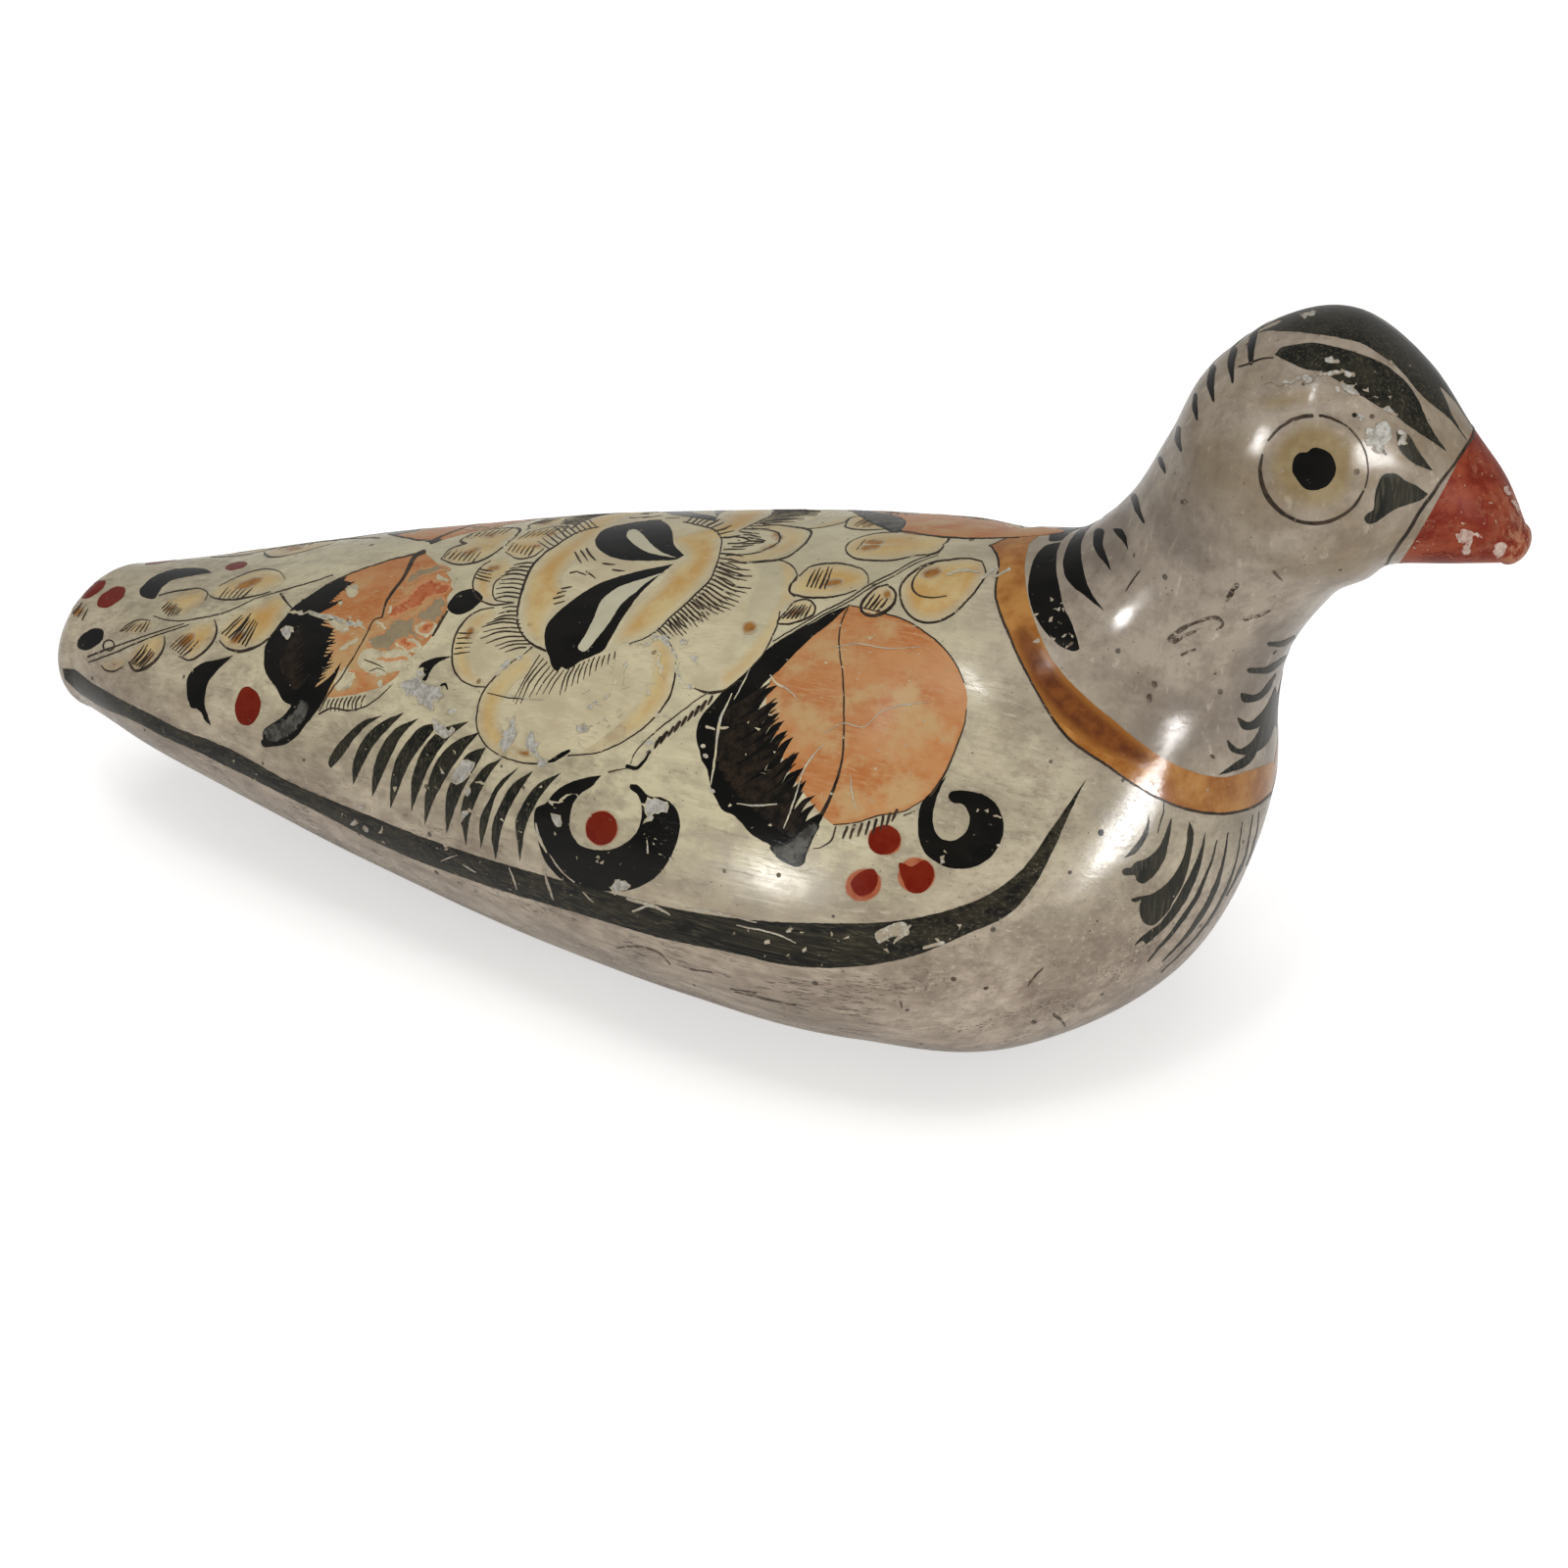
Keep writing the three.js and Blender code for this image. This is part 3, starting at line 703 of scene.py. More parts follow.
def onto_skin(pixels, mirrored=False):
    """The points in mm and the normals that the camera sees at some pixels. What will be mirrored
    stops at the middle plane."""
    hits = [skin_tree.ray_cast(eye, ray_through(pixel)) for pixel in pixels]
    seen = [i for i, hit in enumerate(hits) if hit[0] is not None]
    found = np.array([pixels[i] for i in seen])
    points, normals = [], []
    for pixel, (point, _, quad, _) in zip(pixels, hits):
        if point is None:  # just past the outline: the nearest clay
            near = seen[int(np.argmin(((found - pixel) ** 2).sum(axis=1)))]
            point, _, quad, _ = skin_tree.find_nearest(eye + ray_through(pixel) * hits[near][3])
        if mirrored and point.y > 0:
            point, _, quad, _ = skin_tree.find_nearest(Vector((point.x, 0, point.z)))
        points.append(point)
        normals.append(skin_normal(point, quad))
    return np.array(points), np.array(normals)


# %% [markdown]
# Curves pass smoothly through the few points that a shape needs, and a third number in a point
# marks a sharp corner. A brush stroke is a centre line with a width along it, as the brush is
# pressed and lifted, and a fringe is a row of fine strokes between two lines.

# %% Curves, strokes and fringes
curve_step = 3.2  # pixels between points along a curve


def smooth_run(points, closed=False):
    points = np.array([point[:2] for point in points], float)
    if closed:
        points = np.concatenate([points[-3:], points, points[:4]])
    lengths = np.maximum(np.linalg.norm(np.diff(points, axis=0), axis=1), 1e-6)
    marks = np.concatenate([[0], np.cumsum(lengths)])
    first, last = (marks[3], marks[-4]) if closed else (0, marks[-1])
    if len(points) == 2:
        tangents = np.repeat(np.diff(points, axis=0) / lengths[:, None], 2, axis=0)
    else:
        tangents = np.gradient(points, marks, axis=0)
    count = max(2, round((last - first) / curve_step) + 1)
    at = np.linspace(first, last, count, endpoint=not closed)
    i = np.clip(np.searchsorted(marks, at, side="right") - 1, 0, len(lengths) - 1)
    t, span = ((at - marks[i]) / lengths[i])[:, None], lengths[i][:, None]
    rise = 3 * t ** 2 - 2 * t ** 3
    return (points[i] * (1 - rise) + points[i + 1] * rise
            + tangents[i] * span * (t ** 3 - 2 * t ** 2 + t)
            + tangents[i + 1] * span * (t ** 3 - t ** 2))


def curve(points, closed=False):
    """A curve through points in pixels. A third number in a point marks a sharp corner."""
    corners = [i for i, point in enumerate(points) if len(point) > 2]
    if not corners:
        return smooth_run(points, closed)
    if closed:
        points = points[corners[0]:] + points[:corners[0] + 1]
    ends = [i for i, point in enumerate(points) if len(point) > 2 or i in (0, len(points) - 1)]
    runs = [smooth_run(points[a:b + 1])[:-1] for a, b in zip(ends, ends[1:])]
    if not closed:
        runs.append(np.array([points[-1][:2]], float))
    return np.concatenate(runs)


def stroke_outline(points, widths):
    line = curve(points)
    ahead = np.gradient(line, axis=0)
    ahead /= np.maximum(np.linalg.norm(ahead, axis=1), 1e-6)[:, None]
    side = np.stack([-ahead[:, 1], ahead[:, 0]], axis=1)
    passed = np.linspace(0, 1, len(line))
    half = np.interp(passed, np.linspace(0, 1, len(widths)), widths)[:, None] / 2
    caps = []
    for end, way in ((-1, 1), (0, -1)):
        turns = np.linspace(0, math.pi, 5 if half[end, 0] > 1 else 3)[1:-1, None]
        caps.append(line[end] + half[end] * way * (side[end] * np.cos(turns) + ahead[end] * np.sin(turns)))
    return np.concatenate([line + side * half, caps[0], (line - side * half)[::-1], caps[1]])


def along_curve(points, count):
    line = curve(points)
    passed = np.concatenate([[0], np.cumsum(np.linalg.norm(np.diff(line, axis=0), axis=1))])
    at = np.linspace(0, passed[-1], count)
    return np.stack([np.interp(at, passed, line[:, 0]), np.interp(at, passed, line[:, 1])], axis=1)


class Detail:
    """An enlarged part of the photograph, whose own pixels the marks are read in. Each kind of mark
    gives a list of outlines in the photograph's pixels."""

    def __init__(self, left, top, scale):
        self.left, self.top, self.scale = left, top, scale

    def place(self, points):
        return [(self.left + p[0] / self.scale, self.top + p[1] / self.scale, *p[2:]) for p in points]

    def patch(self, points):
        return [curve(self.place(points), closed=True)]

    def oval(self, centre, long, short, tilt=0):
        (x, y), a = centre[0], math.radians(tilt)
        return self.patch([
            (x + long * math.cos(t) * math.cos(a) - short * math.sin(t) * math.sin(a),
             y + long * math.cos(t) * math.sin(a) + short * math.sin(t) * math.cos(a))
            for t in np.linspace(0, 2 * math.pi, 9)[:-1]])

    def stroke(self, points, *widths):
        return [stroke_outline(self.place(points), [w / self.scale for w in widths])]

    def fringe(self, roots, tips, count, width, bend=0.0, *taper):
        """Fine tapered strokes from one line to another. bend bows them, as a share of length."""
        strokes = []
        pairs = zip(along_curve(self.place(roots), int(count)), along_curve(self.place(tips), int(count)))
        for i, (root, end) in enumerate(pairs):
            shake = noise.noise(Vector((i * 0.77, root[0] * 0.03, root[1] * 0.03)))
            end = end + (end - root) * 0.25 * shake
            across = np.array([-(end - root)[1], (end - root)[0]])
            middle = (root + end) / 2 + across * (bend + 0.08 * shake)
            fine = width / self.scale * (1 + 0.5 * shake)
            strokes.append(stroke_outline([root, middle, end],
                                          [fine * share for share in taper or plain_taper]))
        return strokes


# %% [markdown]
# The marks are then written as short lines of text, as a painter would list them: the detail they
# are read in, and for each mark its kind, its points as across,down and its other numbers. A ! after
# a point is a sharp corner, and a / parts a fringe's roots from its tips. The numbers of a stroke are
# its widths from end to end, an oval's are its two half axes and its tilt, and a fringe's are how
# many strokes, how wide, how bowed and, if it isn't the plain one, the taper.

# %% Reading the marks
plain_taper = (0.8, 1, 0.35)  # widths along a fine stroke, as shares
details = {}


def points_of(text):
    return [tuple(float(part) for part in word.replace("!", ",1").split(","))
            for word in text.split() if "," in word]


def read_marks(text):
    outlines = []
    for line in text.replace("\n  ", " ").strip().split("\n"):
        kind, _, numbers = line.partition(" ")
        if kind.endswith(":"):
            detail = details[kind[:-1]]
        else:
            make = {"patch": detail.patch, "oval": detail.oval, "stroke": detail.stroke,
                    "fringe": detail.fringe}[kind]
            outlines += make(*[points_of(part) for part in numbers.split("/")],
                             *[float(word) for word in numbers.split() if "," not in word and word != "/"])
    return outlines


# %% [markdown]
# The film's triangles come from a Delaunay cut of the outlines with a few points inside them. A
# triangle stays if it lies inside any outline, so overlapping strokes melt into one.

# %% Films of slip
film_grain, chip_grain = 8, 4  # pixels between the points inside a film
row_share = 0.87  # from row to row, as a share of the grain, as in triangles with equal sides
merged_within = 0.05  # pixels: closer points become one
film_root = 0.25  # mm that a film's underside lies in the clay
film_side = 1.7  # mm: a longer side is cut in two
refining_rounds = 4
longest_side = 12  # mm: a longer triangle would bridge from one part of the bird to another
past_middle = -0.01  # mm: a mirrored film keeps the triangles that reach further right than this
hand_tremor, torn_tremor = 0.45, 4.0  # pixels
noise.seed_set(1)  # without it every run would tremble differently


def shaky(outline, tremor):
    return outline + sum(np.array([
        noise.noise_vector(Vector((x / size, y / size, size)))[:2] for x, y in outline]) * tremor
        for size in (11, 4))


def is_inside(points, outline):
    x, y = points[:, 0, None], points[:, 1, None]
    start, end = outline, np.roll(outline, -1, axis=0)
    side = (end[:, 0] - start[:, 0]) * (y - start[:, 1]) - (x - start[:, 0]) * (end[:, 1] - start[:, 1])
    up = (start[:, 1] <= y) & (end[:, 1] > y) & (side > 0)
    down = (start[:, 1] > y) & (end[:, 1] <= y) & (side < 0)
    return up.sum(axis=1) != down.sum(axis=1)


def inside_any(points, outlines):
    kept = np.zeros(len(points), bool)
    for outline in outlines:
        near = np.all((points >= outline.min(axis=0)) & (points <= outline.max(axis=0)), axis=1) & ~kept
        if near.any():
            kept[np.flatnonzero(near)[is_inside(points[near], outline)]] = True
    return kept


def cut(outlines, inner):
    """Delaunay triangles over some outlines and the points inside them, in pixels."""
    edges, start = [], 0
    for outline in outlines:
        ring = list(range(start, start + len(outline)))
        edges += list(zip(ring, ring[1:] + ring[:1]))
        start += len(outline)
    flat, _, triangles, *_ = delaunay_2d_cdt(
        [Vector(p) for p in np.concatenate([*outlines, inner])], edges, [], 0, merged_within)
    flat, triangles = np.array([tuple(p) for p in flat]), np.array(triangles)
    triangles = triangles[inside_any(flat[triangles].mean(axis=1), outlines)]
    used, triangles = np.unique(triangles, return_inverse=True)
    return flat[used], triangles.reshape(-1, 3)


def side_lengths(points, triangles):
    corner = points[triangles]
    return np.linalg.norm(corner - np.roll(corner, -1, axis=1), axis=2)


def paint(name, marks, slip, lift=None, mirrored=True, torn=False):
    """A film of slip in the shape of some marks, as text or outlines, lift mm proud of the skin."""
    its_lift, slot = coats[slip.name]
    lift = lift or its_lift
    grain, tremor = (chip_grain, torn_tremor) if torn else (film_grain, hand_tremor)
    outlines = [shaky(outline, tremor) for outline in (read_marks(marks) if isinstance(marks, str) else marks)]
    everything = np.concatenate(outlines)
    (left, top), (right, bottom) = everything.min(axis=0), everything.max(axis=0)
    inner = np.array([(x + (row % 2) * grain / 2, y)
                      for row, y in enumerate(np.arange(top, bottom, grain * row_share))
                      for x in np.arange(left, right, grain)])
    inner = inner[inside_any(inner, outlines)] if len(inner) else np.empty((0, 2))
    for _ in range(refining_rounds):  # until no side would cut through the rounded clay
        flat, triangles = cut(outlines, inner)
        points, normals = onto_skin(flat, mirrored)
        sides = side_lengths(points, triangles)
        long = (sides > film_side) & (sides < longest_side)
        if not long.any():
            break
        middles = (flat[triangles] + np.roll(flat[triangles], -1, axis=1)) / 2
        inner = np.concatenate([inner, np.unique(middles[long].round(3), axis=0)])
    from_edge = np.sqrt(((flat[:, None] - everything) ** 2).sum(axis=2).min(axis=1))
    near_side = (points[triangles][:, :, 1] < past_middle).any(axis=1) | (not mirrored)
    triangles = triangles[(side_lengths(points, triangles).max(axis=1) < longest_side) & near_side]
    corner = points[triangles]
    facing = np.cross(corner[:, 1] - corner[:, 0], corner[:, 2] - corner[:, 0])
    away = (facing * normals[triangles[:, 0]]).sum(axis=1) < 0
    triangles[away] = triangles[away][:, ::-1]
    piece = make_film(name, points, normals, triangles, slip, lift, mirrored)
    attribute = piece.data.attributes.new("from_edge", "FLOAT", "POINT")
    attribute.data.foreach_set("value", np.tile(from_edge, 4 if mirrored else 2).astype(np.float32))


def make_film(name, points, normals, triangles, material, lift, mirrored):
    """The closed film: its top, its underside in the clay and the wall round its edge."""
    count = len(points)
    solid = np.concatenate([points + normals * lift, points - normals * film_root])
    ways = {(a, b) for t in triangles.tolist() for a, b in zip(t, t[1:] + t[:1])}
    rim = [(a, b) for a, b in ways if (b, a) not in ways]
    faces = [tuple(t) for t in triangles.tolist()] + [tuple(v + count for v in t[::-1])
                                                      for t in triangles.tolist()]
    faces += [(b, a, a + count, b + count) for a, b in sorted(rim)]
    both = np.concatenate([normals, -normals])
    if mirrored:  # the clay is uneven, so the far film is laid on the clay that is there
        far = [skin_tree.find_nearest(Vector((x, -y, z))) for x, y, z in points]
        far_normals = np.array([skin_normal(hit[0], hit[2]) for hit in far])
        far_points = np.array([hit[0] for hit in far])
        faces += [tuple(v + 2 * count for v in face[::-1]) for face in faces]
        solid = np.concatenate([solid, far_points + far_normals * lift, far_points - far_normals * film_root])
        both = np.concatenate([both, far_normals, -far_normals])
    print(name, len(faces), "faces")
    return new_piece(name, solid, faces, material, both)


# %% [markdown]
# ## The marks on the tail
# Two smudged red spots at the end, a black comma and crescent, and a spray of small ochre petals
# with hatched shading, drawn round with the finest brush.

# %% Its enlarged detail and its black strokes
details["tail"] = Detail(40, 560, 5.2267)
paint("tail_black_strokes", """tail:
oval 275,482 82 45 -35
patch 1035,570! 960,590 870,610 825,640 795,680 787,750 800,820 815,850 835,850 860,870 890,920 915,942! 905,900
  885,850 885,780 905,710 940,660 990,610""", black_slip)
paint("tail_comma", """tail:
patch 538,245 535,225 560,190 610,150 680,120 760,105 840,103 900,115 918,128! 860,137 780,150 700,172 655,205
  632,245 620,262 570,262""", black_slip, mirrored=False)

# %% Its red spots
paint("tail_red_spots", """tail:
oval 385,258 88 40 -33
patch 1112,734 1150,755 1178,800 1180,850 1160,905 1120,940 1080,935 1052,900 1045,840 1060,780 1085,745
""", dot_red)
paint("far_red_spots", """tail:
oval 290,217 80 26 -35
oval 1050,92 62 18 -12""", dot_red, mirrored=False)

# %% Its petals
paint("tail_petals", """tail:
patch 650,320 665,290 720,250 790,222 870,217 893,240 870,290 800,335 730,355 670,345
patch 920,240 960,200 1040,160 1130,125 1210,110 1290,130 1310,160 1250,210 1150,245 1040,265 960,262
patch 965,440 1000,390 1080,330 1180,280 1280,250 1320,275 1310,340 1270,420 1200,490 1110,530 1040,540 985,515
  960,480
patch 690,520 720,480 790,430 880,390 940,385 945,430 920,500 860,560 790,590 760,560
patch 480,600 500,540 560,490 640,455 668,470 665,520 630,580 570,630 510,645
patch 430,440 480,400 540,380 590,385 600,410 560,440 480,450
patch 330,620 370,600 430,590 470,580 440,630 390,650 350,640""", ochre_wash)
paint("tail_petal_hearts", """tail:
oval 705,318 42 20 -30
oval 1120,185 85 26 -22
oval 785,490 62 30 -40
oval 590,570 34 20 -40
oval 545,410 30 13 -15
oval 1060,470 60 30 -40
oval 205,335 40 26 -35
oval 395,620 34 14 -15""", ochre_spot)

# %% Its fine outlines and hatching
paint("tail_fine_lines", """tail:
stroke 640,250 700,232 790,218 870,215 897,232 885,275 5 8 6 4
stroke 895,230 915,255 960,268 1020,272 1100,262 1170,248 1232,230 4 9 8 4
stroke 960,200 1040,158 1130,123 1210,108 1292,128 1312,162 3 6 4
stroke 962,490 1000,530 1060,547 1130,535 1205,495 1280,410 6 17 10 4
stroke 935,380 948,420 930,490 880,550 790,595 745,575 6 12 12 5
stroke 668,470 665,522 632,582 572,632 510,650 478,605 5 11 18 8
stroke 430,442 480,400 540,378 592,383 4 8 4
stroke 330,622 350,645 392,655 445,632 5 10 4
stroke 260,575 380,530 520,480 660,435 770,400 9 7 4
stroke 265,605 400,555 540,495 680,445 800,405 7 7 4
stroke 610,360 680,380 760,385 850,370 960,350 1140,272 4 7 4
stroke 1140,270 1290,225 1430,185 1568,140 4 6 4
stroke 345,500 370,486 398,498 400,528 372,544 342,530 345,502 8 8
fringe 655,318 672,348 735,352 / 690,285 720,300 765,318 7 8
fringe 975,455 1100,520 / 1090,350 1165,395 8 9
fringe 700,525 765,575 / 775,455 840,500 6 7
fringe 485,610 545,635 / 555,520 610,560 6 8
fringe 440,442 560,442 / 500,398 590,392 6 6
fringe 960,262 1080,262 / 1010,205 1130,215 6 6
fringe 160,330 230,380 / 205,280 262,318 4 8""", fine_black)

# %% [markdown]
# ## The left leaf
# A coral leaf with one half in black, laid on in strokes that end in spikes towards the midrib.
# Much of its middle has worn down to the brownish ground.

# %% Coral halves and the deeper coral on them
details["left_leaf"] = Detail(240, 530, 4.9)
paint("left_leaf_coral", """left_leaf:
patch 945,162! 1000,212 1080,300 1095,330 1060,390 1058,460 1020,520 985,582 945,630 880,690 840,740 790,800
  720,840 640,865 560,880 470,890 380,880 330,760 300,600 330,450 450,330 600,265 780,205 880,180
""", coral_wash)
paint("left_leaf_deep_coral", """left_leaf:
patch 760,470 800,430 870,380 930,310 1040,315 1080,332 1055,370 980,390 930,430 860,460 790,500
""", deep_coral)
paint("left_leaf_worn_patches", """left_leaf:
patch 850,300 880,270 960,238 1060,236 1078,250 1010,268 930,292 860,330
patch 800,500 870,490 950,440 1040,385 1058,400 1048,450 1012,510 900,525 900,560 950,590 850,600 800,620
  790,648 700,650 655,630 670,590 740,560""", bare_patch)
details["left_worn"] = Detail(240, 540, 6)
paint("left_leaf_worn_cream", """left_worn:
patch 775,760 830,735 900,745 980,740 1090,785 1050,850 960,880 920,905 830,895 760,850 745,800
oval 1160,615 78 46 -15
oval 1060,708 100 46 20
patch 690,350 740,345 760,385 720,420 670,400
stroke 640,560 740,575 800,600 10 34 8
stroke 640,720 720,700 760,660 6 26 6
stroke 880,560 940,600 1000,560 8 18 8
stroke 1240,300 1330,310 1330,360 16 26 8
patch 560,560 640,540 700,580 680,640 620,620
patch 640,880 700,850 740,900 700,960 640,980 600,940""", worn_cream, torn=True)
paint("left_leaf_coral_spots", """left_worn:
oval 1160,610 52 28 -15
oval 1050,705 68 28 22
stroke 880,800 960,790 1050,800 14 30 16
stroke 700,865 760,880 850,870 10 26 10""", deep_coral, lift=fine_coat, torn=True)

# %% The black half with its spikes
paint("left_leaf_black", """left_leaf:
patch 560,285! 450,330 390,370 330,410 285,445 250,490 215,530 180,580 150,640 145,700 150,760 180,810 205,840
  225,880 245,910 280,930 260,960 220,1000 165,1035 145,1055 165,1075 130,1110 135,1130 200,1135 260,1120
  300,1090 350,1030 400,970 440,910 480,830 510,770 530,715! 470,790 415,830 400,840! 430,780 495,655! 440,700!
  460,640 500,600! 450,620! 495,545! 440,550! 430,520 500,505! 420,470! 480,440 540,400! 470,420! 520,370
  600,310! 520,340!""", black_slip)
paint("left_leaf_spikes", """left_worn:
fringe 420,440 520,400 640,320 / 560,490 640,410 720,330 12 18 0 1.2 0.8 0.05
fringe 440,560 480,700 440,840 420,980 / 600,590 610,700 590,830 560,900 16 30 0 1.2 0.8 0.05
""", black_slip)
paint("left_leaf_brown_brushwork", """left_worn:
fringe 330,720 290,820 310,900 370,960 / 420,560 440,700 430,800 440,900 12 30 0 1.2 0.8 0.05
""", thin_black)
paint("left_leaf_smear", """left_leaf:
patch 140,1060 210,1010 290,960 330,900 370,920 350,1000 290,1070 220,1110 150,1120""", black_smear_and_painted_sheen)
paint("left_leaf_fine_lines", """left_leaf:
stroke 230,375 250,405 285,445 14 10 6
stroke 945,162 905,180 870,240 830,310 790,360 750,430 735,490 22 20 14 12 8
stroke 735,490 700,500 660,570 620,640 580,710 530,790 470,870 420,960 6 5 7 5
stroke 450,330 600,262 780,203 880,178 945,162 5 6 6 9
stroke 1062,460 1024,520 988,582 8 16 8
stroke 420,975 480,945 560,956 640,941 722,886 792,820 8 8 6 3
left_worn:
fringe 580,1045 690,1030 795,1018 / 560,1110 660,1112 770,1100 9 8 0.1
stroke 790,800 850,820 910,850 5 9 4
stroke 820,870 870,850 920,870 4 7 4""", fine_black)

# %% The hooks and the teardrop between leaf and flower
paint("left_hooks", """left_leaf:
patch 1060,440 1080,400 1130,360 1190,350 1225,370 1240,390 1210,430 1170,460 1110,475 1070,460
patch 1085,685! 1020,690 960,705 920,735 915,750 955,775 935,800 948,808 970,770 1010,720
stroke 1025,835 1050,822 1062,850 8 14 6""", black_slip)
paint("left_chips", """left_worn:
stroke 318,515 380,512 450,516 540,535 640,562 775,582 10 26 34 22 34 26
patch 280,610 320,590 360,610 345,650 310,680 290,650
left_leaf:
patch 830,830 860,800 900,790 960,820 1040,850 1040,880 990,910 1000,950 960,945 900,900 850,880
left_worn:
patch 1120,850 1150,840 1145,890 1120,900""", chip_grey, mirrored=False, torn=True)

# %% [markdown]
# ## The flower
# Two big black drops with pale hearts lie in a double lobe of ochre wash, ringed by short fine
# strokes, with paler petals below. One drop lies along the ridge of the back and is painted once.

# %% Its ochre lobes and petals
details["flower"] = Detail(430, 520, 4.7515)
details["spray"] = Detail(680, 515, 4.1263)
paint("petal_grounds", """flower:
patch 860,80 700,130 590,215 500,340 468,480 480,590 600,690 700,780 950,660 1140,590 1330,410 1450,250 1450,130
  1290,60
patch 540,670 400,770 310,870 270,980 285,1100 380,1190 520,1228 710,1190 850,1178 1020,1098 1165,960 1228,800
  1215,690 1150,600 900,700 700,790
patch 345,478 222,532 155,660 168,788 252,850 330,850 520,670 470,540
patch 1450,215 1600,240 1650,300 1600,440 1560,640 1480,800 1400,885 1310,862 1250,780 1200,620
""", petal_cream)
paint("flower_lobes", """flower:
patch 860,90 700,150 600,215 530,300 500,400 490,500 500,580 560,640 600,660 600,560 640,480 700,420 680,350
  740,250 800,180 860,120
patch 1220,80 1400,90 1440,150 1440,230 1380,340 1250,470 1130,580 1010,640 930,650 960,580 1050,460 1150,360
  1210,290 1290,230 1230,150
patch 95,235 130,200 200,170 300,140 395,135 395,180 330,225 240,258 150,262
patch 440,145 540,130 620,140 590,190 540,225 450,232 408,210 410,175
patch 335,250 430,250 430,300 350,370 350,440 330,458 270,420 252,380 262,320 290,280
patch 345,478 282,492 222,532 178,592 155,660 153,720 168,788 202,827 252,850 310,850 260,780 230,700 260,620
  310,560 360,500
patch 535,675 470,722 400,772 350,822 312,872 288,920 273,980 272,1050 288,1098 322,1145 382,1185 440,1208
  520,1222 600,1220 520,1180 430,1120 380,1030 390,940 450,850 540,760
patch 1150,595 1188,632 1220,690 1230,750 1225,800 1210,880 1165,958 1098,1035 1018,1095 930,1145 850,1175
  780,1180 860,1120 960,1040 1050,940 1110,830 1120,720 1110,640""", ochre_wash)
paint("spray_petals", """spray:
patch 250,215 400,200 500,140 590,80 640,65 600,140 500,210 400,238 280,238
patch 755,185 770,160 800,140 850,132 960,135 1070,135 1150,142 1168,165 1158,185 1110,208 1050,213 950,233
  850,233 790,223 765,205
patch 560,300 600,265 660,250 720,248 790,260 833,282 848,310 845,332 800,358 740,378 650,390 560,383 522,368
  530,330
patch 500,455 545,410 600,405 625,430 620,455 570,485 500,500 470,500
patch 930,340 963,370 958,410 930,443 890,462 845,462 822,445 828,410 852,380 887,351
patch 1328,242 1342,290 1318,338 1258,408 1200,462 1130,492 1062,487 1012,448 988,390 988,350 1012,312 1060,272
  1120,247 1200,234 1280,230
patch 545,385 520,365 545,310 545,280 512,247 470,240 490,300 480,380 440,470 380,560 300,650 220,720 240,785
  290,750 350,700 400,640 440,570 465,510 480,450""", ochre_wash)
paint("flower_spots", """flower:
oval 350,285 42 20 -10
oval 235,600 24 42 30
oval 500,1180 38 22 10
oval 560,178 34 14 -10
oval 240,205 60 16 -20
spray:
oval 350,518 34 30 -20
oval 700,330 52 20 -10
oval 930,380 22 26 20
oval 1115,287 52 24 -15
oval 548,452 44 20 -25
oval 860,178 56 18 -10
oval 420,185 60 12 -20""", ochre_spot)

# %% Its black drops and their pale hearts
paint("flower_side_drops", """flower:
patch 1220,265! 1150,280 1050,300 960,325 870,355 790,400 720,450 650,510 610,560 597,610 600,660 620,720
  640,770 660,785 680,762 700,775 730,765 770,735 830,710 880,685 910,640 950,570 1000,490 1060,410 1130,340
""", black_slip)
paint("flower_ridge_drop", """flower:
patch 1275,222! 1240,240 1150,247 1050,248 960,240 890,215 850,182 842,150 862,115 920,85 1000,68 1100,55
  1170,58 1210,90 1220,130 1225,170 1250,200""", black_slip, mirrored=False)
paint("flower_side_hearts", """flower:
patch 1180,305! 1100,330 1000,360 920,400 870,450 840,520 800,600 765,680 790,690 830,650 880,590 930,520
  970,460 1040,400 1100,350""", pale_slip)
paint("flower_ridge_heart", """flower:
patch 1240,235! 1150,222 1080,200 1020,160 995,130 1005,105 1040,100 1070,120 1110,165 1170,210
""", pale_slip, mirrored=False)

# %% Its outlines
paint("flower_outlines", """flower:
stroke 600,210 540,270 510,330 490,390 475,440 465,500 465,550 480,590 500,620 540,655 600,685 8 12 10 8 12
stroke 1450,200 1430,270 1400,340 1330,410 1270,470 1200,530 1140,590 1080,625 1010,650 5 8 6 5
stroke 350,475 280,490 220,530 175,590 152,660 150,720 165,790 200,830 250,855 310,860 5 9 9 5
stroke 540,670 470,720 400,770 350,820 310,870 285,920 270,980 268,1050 285,1100 320,1150 380,1190 440,1215
  520,1230 600,1228 4 7 6 8
stroke 1150,590 1190,630 1225,690 1235,750 1230,800 1215,880 1170,960 1100,1040 1020,1100 930,1150 850,1180
  760,1190 710,1192 5 8 6 6
stroke 320,890 440,915 520,918 4 6 3
stroke 95,240 130,200 200,170 300,140 395,130 4 7 5
stroke 95,240 160,265 240,262 330,228 395,182 5 8 5
stroke 408,175 440,143 540,128 622,138 4 6 4
stroke 408,205 450,234 540,228 592,192 4 6 4
stroke 430,300 350,370 352,430 450,452 4 6 4
stroke 335,248 290,278 260,320 250,380 268,422 330,460 450,452 4 9 6
stroke 1310,865 1400,885 1480,870 1540,830 4 7 4
stroke 1390,885 1220,1010 1100,1110 1030,1190 1015,1230 4 6 4
spray:
stroke 470,232 510,245 545,280 550,310 520,340 515,365 540,388 4 6 6
stroke 480,450 465,510 440,570 400,640 350,700 5 6 4
stroke 100,765 140,785 190,795 240,785 290,750 4 6 4""", fine_black)
